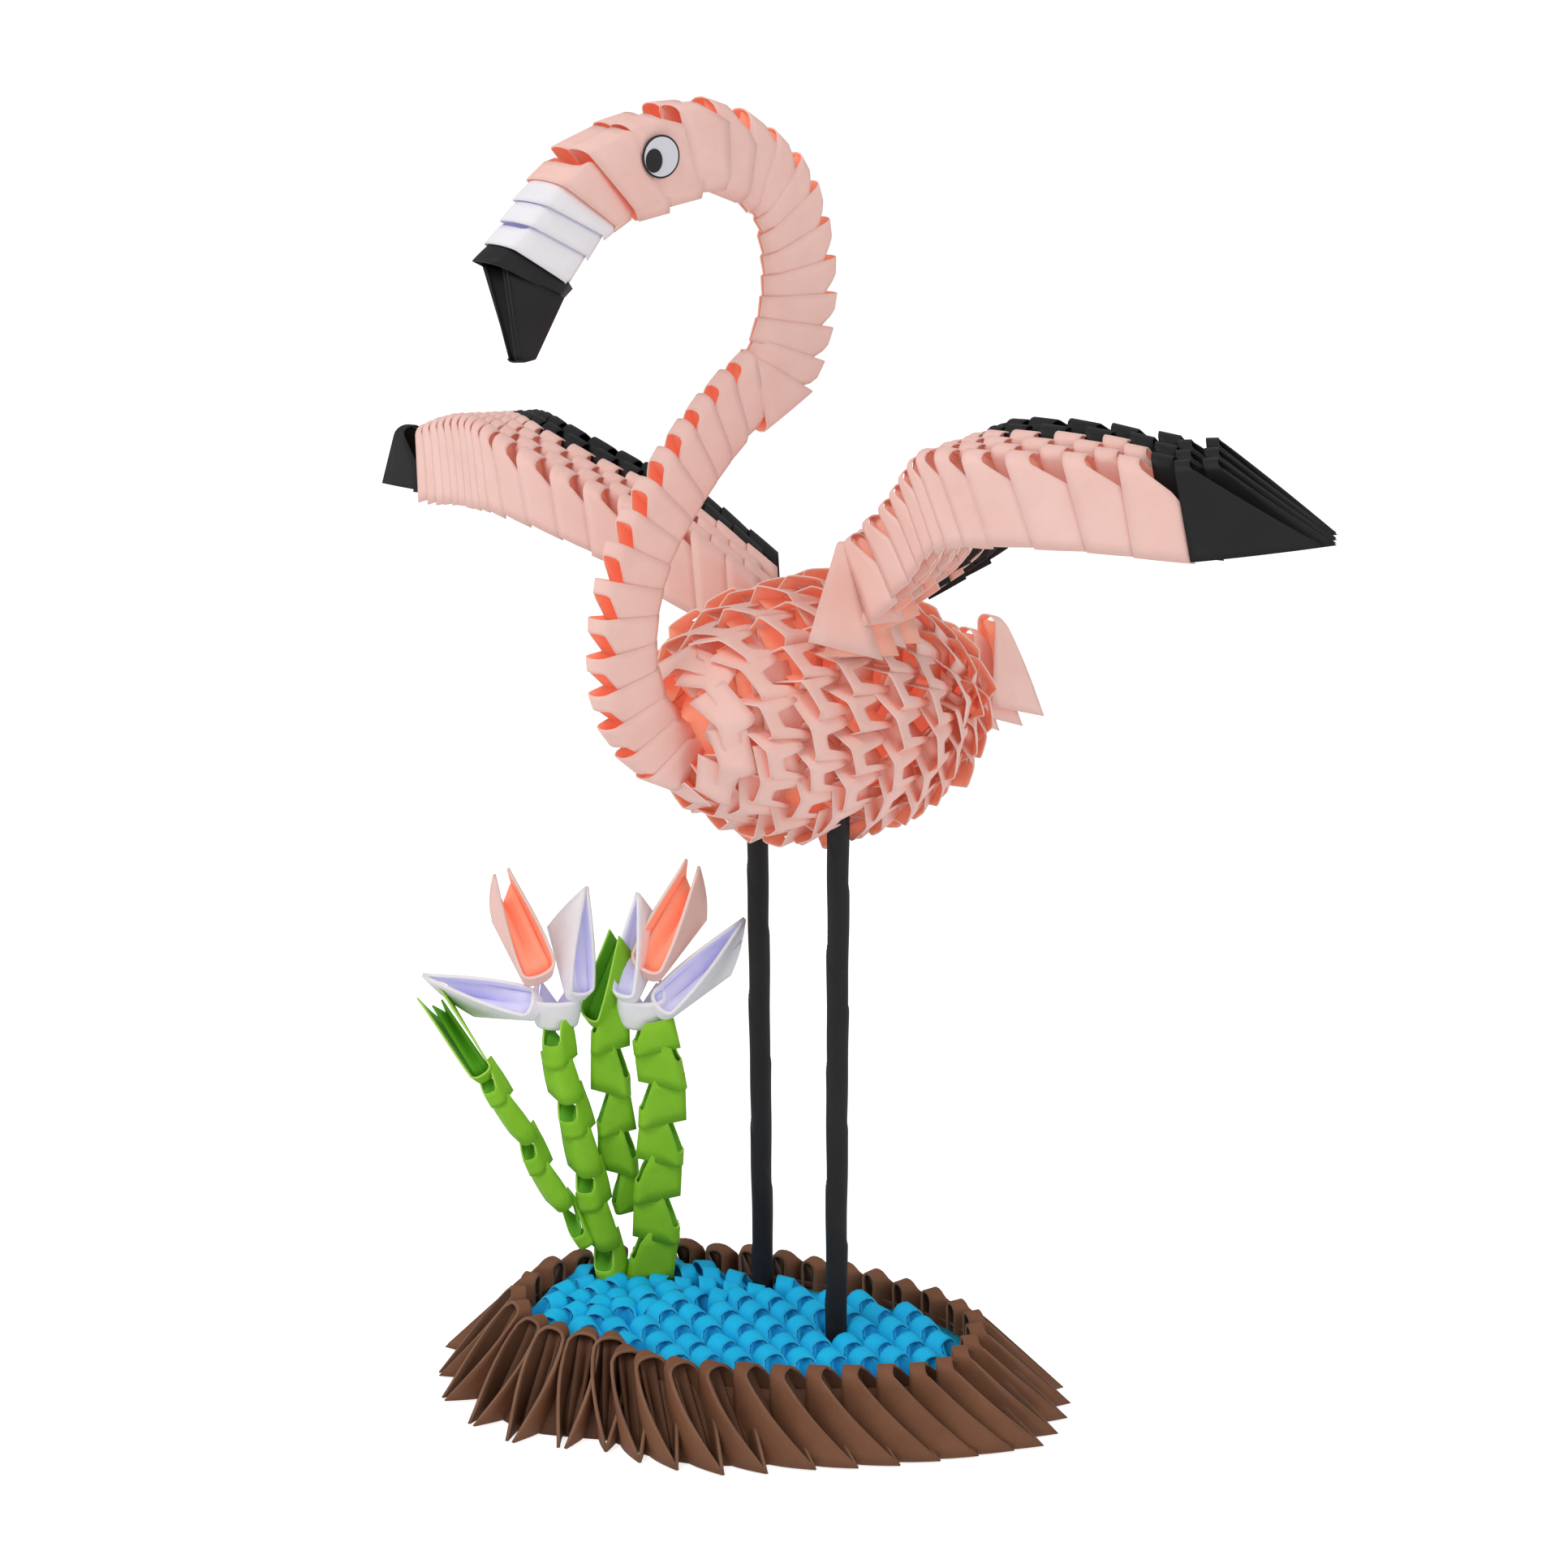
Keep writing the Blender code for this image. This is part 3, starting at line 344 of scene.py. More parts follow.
def paper(name, light, dark, roughness=0.72, bump=0.25, painted_glow=0.0):
    # Copy paper, dyed in the pulp and rolled smooth: matt and even, faintly cloudy and with a fine grain
    material = bpy.data.materials.new(name)
    material.use_nodes = True
    tree = material.node_tree
    shader = tree.nodes["Principled BSDF"]
    place = node(tree, "ShaderNodeTexCoord").outputs["Object"]
    cloud = node(tree, "ShaderNodeTexNoise", {
        "Vector": place, "Scale": 1 / CLOUD, "Detail": 4.0, "Roughness": 0.6})
    grain = node(tree, "ShaderNodeTexNoise", {
        "Vector": place, "Scale": 1 / GRAIN, "Detail": 3.0, "Roughness": 0.7})
    tone = node(tree, "ShaderNodeValToRGB", {"Fac": cloud.outputs["Fac"]})
    tone.color_ramp.elements[0].position = 0.30
    tone.color_ramp.elements[0].color = srgb(dark)
    tone.color_ramp.elements[1].position = 0.68
    tone.color_ramp.elements[1].color = srgb(light)
    height = node(tree, "ShaderNodeMath", {
        0: grain.outputs["Fac"], 1: cloud.outputs["Fac"]}, operation="ADD")
    lift = node(tree, "ShaderNodeBump", {
        "Height": height.outputs[0], "Strength": bump, "Distance": GRAIN_HEIGHT})
    tree.links.new(tone.outputs["Color"], shader.inputs["Base Color"])
    tree.links.new(lift.outputs["Normal"], shader.inputs["Normal"])
    shader.inputs["Roughness"].default_value = roughness
    shader.inputs["Specular IOR Level"].default_value = 0.35
    # Painted glow: emission in the paper's own tone that stands in for light coming through the thin paper
    # and bouncing inside the folds
    tree.links.new(tone.outputs["Color"], shader.inputs["Emission Color"])
    shader.inputs["Emission Strength"].default_value = painted_glow
    return material


# Pink copy paper: pale outside, a painted deep orange-pink with a painted glow inside the folds for the
# light that bounces there, and paler along the cut edges, partly as a painted highlight where they catch
# the light
PINK = paper("pink_paper", "FAD0C6", "F5C6BB")
PINK_PAINTED_BOUNCE = paper("pink_paper_painted_bounce", "FFB093", "FC9E7E", painted_glow=0.14)
PINK_EDGE = paper("pink_paper_edge", "FCDFD7", "FAD6CC")
# The wing units stand more open, so the painted bounce colour and glow inside their folds are paler
WING_PAINTED_BOUNCE = paper("pink_paper_wing_painted_bounce", "FCBDA9", "F8B09B", painted_glow=0.08)
# White copy paper: bright and neutral outside, with painted shade in a cool lavender cast and a faint
# painted glow inside the folds, and a little brighter along the cut edges, partly as a painted highlight
WHITE = paper("white_paper", "F7F5F8", "EFECF2")
WHITE_SHADE_AND_GLOW = paper("white_paper_shade_and_glow", "E0DEF8", "D5D3F4", painted_glow=0.10)
WHITE_EDGE = paper("white_paper_edge", "FBF9FC", "F2F0F5")
# Black copy paper: a soft black with a slight sheen, a little darker inside the folds as painted shade,
# and worn to grey along its folds, the grey partly a painted highlight where the edges catch the light
BLACK = paper("black_paper", "1C1B1D", "141315", 0.62)
BLACK_PAINTED_SHADE = paper("black_paper_painted_shade", "1A191B", "131213", 0.7)
BLACK_EDGE = paper("black_paper_edge", "2C2B2D", "222123", 0.6)
# Bright green copy paper for the stalks: yellow-green outside, darker in the slots as painted shade with a
# faint painted glow, and lighter along the cut edges, partly as a painted highlight
GREEN = paper("green_paper", "8CCB2A", "7CBC1F")
GREEN_SHADE_AND_GLOW = paper("green_paper_shade_and_glow", "5FAE1C", "549E16", painted_glow=0.05)
GREEN_EDGE = paper("green_paper_edge", "BCE868", "A9DC50")
# Sky-blue copy paper for the water: strong and even, with a deeper blue between the units as painted
# shade, and lighter along the cut edges, partly as a painted highlight
BLUE = paper("blue_paper", "00C4F8", "00B4EC")
BLUE_PAINTED_SHADE = paper("blue_paper_painted_shade", "00A4E2", "0096D4")
BLUE_EDGE = paper("blue_paper_edge", "4CD2FA", "2FC6F4")
# Brown copy paper for the bank: a dull earth brown, darker inside the folds as painted shade, and lighter
# along the cut edges, partly as a painted highlight
BROWN = paper("brown_paper", "83573D", "754B33")
BROWN_PAINTED_SHADE = paper("brown_paper_painted_shade", "6C4832", "5E3D29")
BROWN_EDGE = paper("brown_paper_edge", "8E6850", "7D5943")
# Printed sticker paper for the eyes: smoother than copy paper, in flat black and cool white
EYE_BLACK = paper("eye_ring", "1B1B1D", "151517", 0.45, 0.05)
EYE_WHITE = paper("eye_white", "DCDCE2", "D6D6DD", 0.4, 0.05)

# Outside, inside and edge of each colour, and its slot in the frame
PAPERS = {
    "pink": (PINK, PINK_PAINTED_BOUNCE, PINK_EDGE, "pink_paper"),
    "wing_pink": (PINK, WING_PAINTED_BOUNCE, PINK_EDGE, "pink_paper"),
    "white": (WHITE, WHITE_SHADE_AND_GLOW, WHITE_EDGE, "white_paper"),
    "black": (BLACK, BLACK_PAINTED_SHADE, BLACK_EDGE, "black_paper"),
    "green": (GREEN, GREEN_SHADE_AND_GLOW, GREEN_EDGE, "green_paper"),
    "blue": (BLUE, BLUE_PAINTED_SHADE, BLUE_EDGE, "blue_paper"),
    "brown": (BROWN, BROWN_PAINTED_SHADE, BROWN_EDGE, "brown_paper"),
}


# Pieces and their folded units

def finished(name, work, materials):
    mesh = bpy.data.meshes.new(name)
    work.to_mesh(mesh)
    work.free()
    for material in materials:
        mesh.materials.append(material)
    piece = bpy.data.objects.new(name, mesh)
    bpy.context.scene.collection.objects.link(piece)
    return piece


class Group:
    # Folded sheets of one colour that make one piece
    def __init__(self, name, colour, nodes, thickness=PAPER):
        self.name = name
        self.colour = colour
        self.nodes = nodes
        self.thickness = thickness
        self.work = bmesh.new()

    def grid(self, across, along, place, outward=None, material=0):
        # A sheet of paper as a grid whose points are then put where place(u, v) says
        made = bmesh.ops.create_grid(self.work, x_segments=across, y_segments=along, size=1.0)["verts"]
        for index, vert in enumerate(made):
            row, column = divmod(index, across + 1)
            vert.co = place(column / across, row / along) * CM
        faces = list(dict.fromkeys(face for vert in made for face in vert.link_faces))
        for face in faces:
            face.smooth = True
            face.material_index = material
        if outward is not None:
            middle = faces[len(faces) // 2]
            middle.normal_update()
            if middle.normal.dot(outward(middle.calc_center_median())) < 0:
                bmesh.ops.reverse_faces(self.work, faces=faces)
        return made

    def close(self, made):
        # Joins a sheet that comes round to its own start, and the points where it ends in one
        bmesh.ops.remove_doubles(self.work, verts=made, dist=1e-6)

    def done(self):
        outside, inside, edge, slot = PAPERS[self.colour]
        # The back faces of every sheet and its inner folds take the inside colour, painted shade or a
        # painted bounce glow, and the solidified rims take the edge colour, partly a painted highlight
        piece = finished(self.name, self.work, (outside, inside, edge, inside, inside))
        skin = piece.modifiers.new("paper_thickness", "SOLIDIFY")
        skin.thickness = self.thickness * CM
        skin.offset = -1.0
        skin.material_offset = 1
        skin.material_offset_rim = 2
        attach(piece, "root")
        if self.nodes:
            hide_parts(*self.nodes)


class Rim:
    # Where a unit's paper starts: its nose, the way to its inner end and the way to its side
    def __init__(self, nose, end, side, half, half_end=None, bow=None, centre=0.0, spread=0.0, pinch=0.0):
        self.nose = Vector(nose)
        self.along = (Vector(end) - self.nose).normalized()
        self.length = (Vector(end) - self.nose).length
        side = Vector(side)
        self.side = (side - self.along * side.dot(self.along)).normalized()
        self.half = half
        self.half_end = half * 0.85 if half_end is None else half_end
        self.bow = half * 0.85 if bow is None else bow
        self.centre = centre
        self.spread = spread
        self.pinch = pinch

    def point(self, depth, across):
        return self.nose + self.along * depth + self.side * (across + self.centre + self.spread * depth)

    def shape(self, u):
        # Seen along the paper, u runs from the far inner end round the nose to the near inner end.
        # The answer is the depth behind the nose and the distance to the side
        sign = -1.0 if u < 0.5 else 1.0
        way = abs(u - 0.5) * 2
        if way < ROUND_SHARE:
            angle = way / ROUND_SHARE * pi / 2
            return self.bow * (1 - cos(angle)), sign * self.half * sin(angle) ** 0.9
        share = (way - ROUND_SHARE) / (1 - ROUND_SHARE)
        wide = self.half + (self.half_end - self.half) * share
        wide *= 1 - self.pinch * max(0.0, (share - PINCH_FROM) / (1 - PINCH_FROM)) ** 2
        return self.bow + (self.length - self.bow) * share, sign * wide


def chain_unit(group, rim, following, band=NOSE_BAND, slope=0.86, reach=1.2, tuck=0.05, narrow=0.14,
               cavity=0.45):
    # A unit in a chain: its flaps run from its own rim to inside the next rim. The open edge starts behind
    # a narrow band at the nose and then runs off at the slope of the folded paper
    facing = rim.along.cross(rim.side).normalized()
    if facing.dot(following.nose - rim.nose) < 0:
        facing.negate()

    def flaps(u, v):
        depth, across = rim.shape(u)
        start = rim.point(depth, across)
        step = following.point(depth, across) - start
        rise = step.dot(facing) - slope * step.dot(rim.along)
        rise = min(max(rise, 0.25 * step.length, 0.05), step.length)
        share = (band + slope * max(0.0, depth - rim.bow * 0.5)) / rise
        share = min(share, reach) * v
        inside = following.point(depth + tuck * (1 - depth / rim.length), across * (1 - narrow))
        swell = FLAP_SWELL * sin(pi * min(share, 1.0)) * (across / rim.half)
        return start.lerp(inside, share) + rim.side * swell

    middle = rim.point(rim.length * 0.5, 0.0).lerp(following.point(rim.length * 0.5, 0.0), 0.5)
    group.grid(20, 4, flaps, lambda spot: spot - middle * CM)

    def folds(u, v):
        # The inner folds close the unit: they start under the nose and rise to both sides of a crease
        spot = FOLD_START + (rim.length * FOLD_END - FOLD_START) * v
        across = (u - 0.5) * 2
        room = sin(pi / 2 * min(1.0, spot / rim.bow))
        wide = (rim.half * room + (rim.half_end - rim.half) * spot / rim.length) * FOLD_WIDTH * across
        start = rim.point(spot, wide)
        step = following.point(spot, wide * 0.9) - start
        rise = cavity * min(1.0, 0.25 + spot * 2.2) * (CREASE + (1 - CREASE) * abs(across))
        return start + step * rise

    group.grid(6, 6, folds, None, PAINTED_LIGHT_SLOT)


def whole_unit(group, rim, point, tip=0.06, band=0.26, swell=0.25):
    # A unit whose flaps are seen whole. Its rim runs from the nose, and each flap is a triangle that ends
    # in a point beyond the rim's inner end
    reach = Vector(point) - rim.point(rim.length, 0.0)
    total = reach.length
    outward = reach.normalized()

    def flaps(u, v):
        depth, across = rim.shape(u)
        height = band + max(0.0, depth - rim.bow * 0.4) / (rim.length - rim.bow * 0.4) * (total - band)
        height *= v
        share = height / total * (depth / rim.length)
        wide = across * (1 - share) + (tip if across > 0 else -tip) * share
        wide += swell * across * sin(pi * min(height / total, 1.0))
        return rim.nose + rim.along * depth + rim.side * wide + outward * height

    middle = rim.point(rim.length * 0.7, 0.0) + reach * 0.15
    group.grid(22, 8, flaps, lambda spot: spot - middle * CM)

    def folds(u, v):
        depth = rim.bow * 0.6 + (rim.length * 0.97 - rim.bow * 0.6) * v
        across = (u - 0.5) * 2
        rise = WHOLE_CREASE + (WHOLE_SIDES - WHOLE_CREASE) * abs(across)
        height = 0.03 + rise * depth * total / rim.length
        wide = rim.half * 0.9 * across * (1 - 0.3 * v)
        return rim.nose + rim.along * depth + rim.side * wide + outward * height

    group.grid(6, 6, folds, None, PAINTED_LIGHT_SLOT)


def smooth(points, place, closed=False):
    # The spot on a smooth line through the points, where place 1.5 is halfway from point 1 to point 2
    size = len(points)
    place = place % size if closed else min(max(place, 0.0), size - 1 - 1e-6)
    start = int(floor(place))
    share = place - start
    steps = [start + step for step in (-1, 0, 1, 2)]
    if closed:
        steps = [step % size for step in steps]
    else:
        steps = [min(max(step, 0), size - 1) for step in steps]
    before, low, high, after = [Vector(points[step]) for step in steps]
    bend = (2 * before - 5 * low + 4 * high - after) * share ** 2
    twist = (3 * low - before - 3 * high + after) * share ** 3
    return 0.5 * (2 * low + (high - before) * share + bend + twist)


# Head and neck

def flat_rim(station, half, bow=None, centre=0.0, spread=0.0):
    nose = vec(0, station[0], station[1])
    end = vec(0, station[2], station[3])
    return Rim(nose, end, (1, 0, 0), half, half * 0.86, bow, centre, spread, 0.8)


def build_head_pair(label, station, after):
    # Two units side by side, close at the noses and spread apart over the cheeks
    half = station[4]
    for part, sign in (("left", 1), ("right", -1)):
        group = Group("%s_%s_fold" % (label, part), "pink", ["%s_%s" % (label, part)])
        shape = (half * PAIR_HALF, PAIR_BOW, sign * half * PAIR_PLACE, sign * PAIR_SPREAD)
        first = flat_rim(station, *shape)
        then = flat_rim(after, *shape)
        chain_unit(group, first, then, PAIR_BAND, 1.2, narrow=0.05, cavity=0.8)
        group.done()


def build_head_and_neck():
    for index in range(len(UPPER_NECK) - 1):
        station = UPPER_NECK[index]
        after = UPPER_NECK[index + 1]
        in_head = index < len(HEAD_UNITS)
        label = HEAD_UNITS[index] if in_head else "neck_%02d" % (index - len(HEAD_UNITS) + 1)
        if index in HEAD_PAIRS:
            build_head_pair(label, station, after)
            continue
        colour = "black" if index == 0 else "white" if index <= WHITE_UNITS else "pink"
        group = Group(label + "_fold", colour, [label])
        half = station[4]
        bow = half * (0.42 if in_head else 0.85)
        chain_unit(group, flat_rim(station, half, bow), flat_rim(after, half, bow), slope=1.1)
        group.done()
    # The turn at the back of the neck: the last upper unit closes over the first lower one
    group = Group("neck_11_fold", "pink", ["neck_11"])
    last = flat_rim(UPPER_NECK[-1], NECK_HALF)
    turned = Rim(NECK_TURN[0], NECK_TURN[1], (1, 0, 0), 0.20, 0.20, pinch=0.8)
    chain_unit(group, last, turned, 0.45, 1.5, reach=1.0, tuck=0.0, narrow=0.0)
    group.done()
    for index in range(len(LOWER_NECK) - 1):
        label = "neck_%02d" % (index + FIRST_LOWER_UNIT)
        group = Group(label + "_fold", "pink", [label])
        first = flat_rim(LOWER_NECK[index], NECK_HALF)
        chain_unit(group, first, flat_rim(LOWER_NECK[index + 1], NECK_HALF), slope=1.15)
        group.done()


def build_beak():
    # The beak is a unit standing on its nose, so its two points go up into the band
    group = Group("beak_fold", "black", ["beak"])
    for sign in (1, -1):
        def flap(u, v, sign=sign):
            low = BEAK_NOSE + vec(0, (u - 0.5) * BEAK_NOSE_LENGTH, 0.04 * abs(u - 0.5))
            spot = low.lerp(BEAK_FRONT.lerp(BEAK_BACK, u), v)
            wide = BEAK_LOW_HALF + BEAK_WIDENS * v + 0.05 * sin(pi * u)
            return spot + vec(sign * wide * (0.75 + 0.25 * u), 0, 0)
        group.grid(6, 8, flap, lambda spot, sign=sign: vec(sign, 0, 0))

    def nose(u, v):
        angle = (u - 0.5) * pi
        drop = 0.04 * abs(v - 0.5) - 0.05 * cos(angle)
        return BEAK_NOSE + vec(0.14 * sin(angle), (v - 0.5) * BEAK_NOSE_LENGTH, drop)
    group.grid(6, 4, nose, lambda spot: vec(0, 0, -1))

    def back(u, v):
        across = (u - 0.5) * 2
        spot = (BEAK_NOSE + vec(0, BEAK_NOSE_LENGTH / 2, 0)).lerp(BEAK_BACK, v)
        wide = BEAK_LOW_HALF + BEAK_WIDENS * v
        return spot + vec(across * wide, 0.03 * (1 - abs(across)), 0)
    group.grid(4, 6, back, lambda spot: vec(0, 1, 0))

    def groove(u, v):
        across = (u - 0.5) * 2
        spot = (BEAK_NOSE + vec(0, -0.16, 0)).lerp(BEAK_FRONT, v)
        deep = 0.45 * v * (1 - abs(across) ** 0.8) - 0.22 * v * max(0.0, 1 - abs(across) * 3)
        return spot + vec(across * (0.12 + 0.19 * v), deep, -0.3 * deep)
    group.grid(8, 6, groove, lambda spot: vec(0, -1, 0))
    group.done()


def build_eyes():
    # Stickers with a black ring, a white field and an oval pupil that looks forwards
    for side, sign in (("left", 1), ("right", -1)):
        out = vec(sign * cos(EYE_TURN), -sin(EYE_TURN), 0)
        forward = vec(-sign * sin(EYE_TURN), -cos(EYE_TURN), 0)
        centre = vec(sign * EYE_OUT, EYE_Y, EYE_Z)
        turned = Matrix((forward, UP, out)).transposed().to_4x4()
        work = bmesh.new()
        for radius, lift, shift, stretch, material in EYE_DISCS:
            spot = centre + out * lift + forward * shift - UP * shift * 0.4
            place = Matrix.Translation(spot * CM) @ turned @ Matrix.Diagonal((1.0, stretch, 1.0, 1.0))
            made = bmesh.ops.create_cone(work, cap_ends=True, segments=48, radius1=radius * CM,
                                         radius2=radius * CM, depth=EYE_DISC * CM, matrix=place)["verts"]
            for face in {face for vert in made for face in vert.link_faces}:
                face.material_index = material
        bmesh.ops.recalc_face_normals(work, faces=work.faces[:])
        sticker = finished("eye_%s_sticker" % side, work, (EYE_BLACK, EYE_WHITE))
        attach(sticker, "root")
        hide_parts("eye_" + side)


# Body

def open_unit(group, rim, following, turns, band, material):
    # A unit in a ring is pulled wide open. Its nose is a flat band, its arms run under the next ring's
    # bands, and its flaps turn inwards at both ends of the band
    shrink = following.half / rim.half

    def flaps(u, v):
        reach = abs(u - 0.5) * 2 * (rim.half + BODY_ARM)
        sign = -1 if u < 0.5 else 1
        turn = turns[0] if u < 0.5 else turns[1]
        over = max(0.0, reach - rim.half)
        across = sign * (min(reach, rim.half) + over * cos(turn))
        depth = over * sin(turn) + 0.03 * min(1.0, reach / rim.half) ** 4
        arm = min(max((reach - rim.half * 0.38) / 0.13, 0.0), 1.0)
        arm = arm * arm * (3 - 2 * arm)
        share = v * (band + (1.14 - band) * arm)
        return rim.point(depth, across).lerp(following.point(depth + 0.30, across * shrink), share)

    group.grid(30, 4, flaps, lambda spot: spot - rim.point(1.0, 0.0) * CM)

    def fold(u, v):
        across = (u - 0.5) * 2
        depth = 0.34 + 0.26 * (1 - abs(across)) + 0.12 * v
        wide = rim.half * across
        return rim.point(depth, wide).lerp(following.point(depth, wide * shrink), 0.12 + v)

    group.grid(4, 3, fold, lambda spot: spot - rim.point(1.0, 0.0) * CM, material)


def ring_rim(y, z, radius, angle, twist, cells):
    out = vec(cos(angle), 0, sin(angle))
    nose = vec(0, y, z) + out * radius
    side = vec(0, 1, 0).cross(out) + vec(0, twist, 0)
    return Rim(nose, nose - out, side, pi * radius / cells * 0.84)


def build_body():
    group = Group("body_folds", "pink", ["body"])
    for index in range(len(BODY_RINGS) - 1):
        y, z, radius = BODY_RINGS[index]
        next_y, next_z, next_radius = BODY_RINGS[index + 1]
        # The units keep their size, so a small ring has fewer of them
        cells = round(2 * pi * radius / BODY_UNIT_WIDTH)
        for cell in range(cells):
            angle = 2 * pi * (cell + 0.5 * (index % 2)) / cells + random.uniform(-0.025, 0.025)
            lean = random.uniform(-BODY_LEAN, BODY_LEAN)
            twist = random.uniform(*BODY_TWISTS)
            stands = radius + random.uniform(-BODY_UNEVEN, BODY_UNEVEN)
            rim = ring_rim(y + lean, z, stands, angle, twist, cells)
            following = ring_rim(next_y + lean, next_z, next_radius, angle, twist, cells)
            turns = [radians(random.uniform(*BODY_TURNS)) for flap in range(2)]
            band = BODY_BAND / (next_y - y) + random.uniform(-0.04, 0.04)
            # Painted light from above: the folds of the upper units, and about a quarter of the others at
            # random, take the inside colour with its painted glow, and the others stay the colour of the
            # paper
            material = PAINTED_LIGHT_SLOT if sin(angle) > 0.35 or random.random() < 0.25 else 0
            open_unit(group, rim, following, turns, band, material)
    group.done()

    # The dim middle that shows between the folds, in the pink inside colour with its painted bounce glow
    core = Group("body_core", "pink", [])

    def inside(u, v):
        spot = v * (len(BODY_RINGS) - 1)
        low = min(int(spot), len(BODY_RINGS) - 2)
        near, far = BODY_RINGS[low], BODY_RINGS[low + 1]
        y, z, radius = [near[part] + (far[part] - near[part]) * (spot - low) for part in range(3)]
        radius = radius * CORE_SHARE * max(sin(pi * v), 0.0) ** 0.4
        angle = 2 * pi * u
        return vec(radius * cos(angle), y + 0.1, z + radius * sin(angle))
    core.close(core.grid(24, 16, inside, lambda spot: spot - CORE_MIDDLE * CM, 1))
    core.done()


# Wings

def wing_rim(stations, ways_back, place, column):
    noses = [station[0] for station in stations]
    ends = [station[1] for station in stations]
    last = len(stations) - 1
    # Past either end of the wing, the line runs straight on
    beyond = place - last if place > last else min(place, 0.0)
    near, inner = (last, last - 1) if place > last else (1, 0)
    nose = smooth(noses, place) + (Vector(noses[near]) - Vector(noses[inner])) * beyond
    end = smooth(ends, place) + (Vector(ends[near]) - Vector(ends[inner])) * beyond
    back = smooth(ways_back, min(max(place / last, 0), 1) * (len(ways_back) - 1))
    shift = back * (column * WING_COLUMN + 0.06)
    return Rim(nose + shift, end + shift, back, WING_HALF, 0.25, 0.20)


def build_wing(side, stations, ways_back):
    pink = Group(side + "_wing_folds", "wing_pink", [side + "_wing"])
    black = Group(side + "_wing_trim_folds", "black", [side + "_wing_trim"])
    tip = Group(side + "_wing_tip_folds", "black", [side + "_wing_tip"])
    is_left = side == "left"
    last = len(stations) - 1
    for column in range(ALL_COLUMNS):
        place = 0.5 * (column % 2)
        if is_left and column > 2:
            # The body hides the roots of the back columns
            place += 1
        while place < last - 0.01:
            rim = wing_rim(stations, ways_back, place, column)
            following = wing_rim(stations, ways_back, place + 1, column)
            at_tip = place >= LEFT_TIP_FROM if is_left else place < RIGHT_TIP_UNTIL
            group = tip if at_tip else black if column >= PINK_COLUMNS else pink
            chain_unit(group, rim, following, WING_BAND, WING_SLOPE, reach=1.08, narrow=0.10, tuck=0.06)
            place += 1
        if is_left:
            rim = wing_rim(stations, ways_back, place, column)
            away = rim.nose + rim.along * rim.length - Vector(stations[-1][1])
            whole_unit(tip, rim, LEFT_POINT + away * 0.45, 0.08)
    pink.done()
    black.done()
    tip.done()


# Tail

def build_tail():
    group = Group("tail_folds", "pink", ["tail"])
    for x, top, inner, point in TAIL:
        rim = Rim(vec(x, *top), vec(x, *inner), (1, 0, 0), TAIL_HALF, 0.22, 0.2)
        whole_unit(group, rim, vec(x, *point), 0.12)
    group.done()


# Legs

def build_legs():
    # A sheet rolled at a slant, so its free edge winds up the leg
    for name, (foot, top) in LEG_LINES.items():
        group = Group(name + "_rolled", "black", [name], ROLLED_PAPER)
        turns = LEG_TURNS[name]

        def wrap(u, v, foot=foot, top=top, turns=turns):
            height = LEG_FOOT + (LEG_TOP - LEG_FOOT) * v
            x = foot[0] + (top[0] - foot[0]) * v
            y = foot[1] + (top[1] - foot[1]) * v
            angle = 2 * pi * u
            seam = (u + v * turns) % 1.0
            radius = LEG_RADIUS - 0.018 + LEG_SEAM * seam + LEG_UNEVEN * sin(v * 40 + angle)
            return vec(x + radius * cos(angle), y + radius * sin(angle), height)
        middle = vec(foot[0], foot[1], 0) * CM
        group.close(group.grid(40, 160, wrap, lambda spot, middle=middle: (spot - middle) * vec(1, 1, 0)))
        group.done()


# Pond

def rim_pair(place):
    inner = smooth([(pair[0], pair[1], 0) for pair in RIM_PAIRS], place, True)
    outer = smooth([(pair[2], pair[3], 0) for pair in RIM_PAIRS], place, True)
    return inner, outer


def build_rim():
    group = Group("pond_rim_folds", "brown", ["pond_rim"], THICK_PAPER)
    for index in range(len(RIM_PAIRS)):
        inner, outer = rim_pair(index)
        out = (outer - inner).normalized()
        side = vec(-out.y, out.x, 0)
        nose = inner + vec(0, 0, RIM_TOP + random.uniform(-0.05, 0.03)) - out * 0.05
        foot = vec(nose.x, nose.y, 0.02)
        stands_open = inner.x < RIM_OPEN_TO[0] and inner.y < RIM_OPEN_TO[1]
        rim = Rim(nose, foot, side, RIM_HALF, RIM_FOOT_HALF, RIM_BOW)
        tip = RIM_OPEN if stands_open else RIM_SHUT
        whole_unit(group, rim, outer + vec(0, 0, 0.05), tip, RIM_BAND, RIM_SWELL)
    group.done()

    # The imported inner folds below the ridges, in the brown inside colour, which is painted shade
    bed = Group("pond_rim_bed", "brown", [])

    def skirt(u, v):
        step = int(round(u * RIM_BED_POINTS)) % RIM_BED_POINTS
        inner, outer = rim_pair(step * len(RIM_PAIRS) / RIM_BED_POINTS)
        spot = inner.lerp(outer, 0.02 + 0.62 * v)
        return vec(spot.x, spot.y, RIM_BED_TOP * (1 - v) + 0.03)
    bed.close(bed.grid(RIM_BED_POINTS, 6, skirt, lambda spot: spot - POND_MIDDLE * CM, PAINTED_LIGHT_SLOT))
    bed.done()


def pond_edge():
    places = [step * len(RIM_PAIRS) / POND_EDGE_POINTS for step in range(POND_EDGE_POINTS)]
    return [rim_pair(place)[0] for place in places]


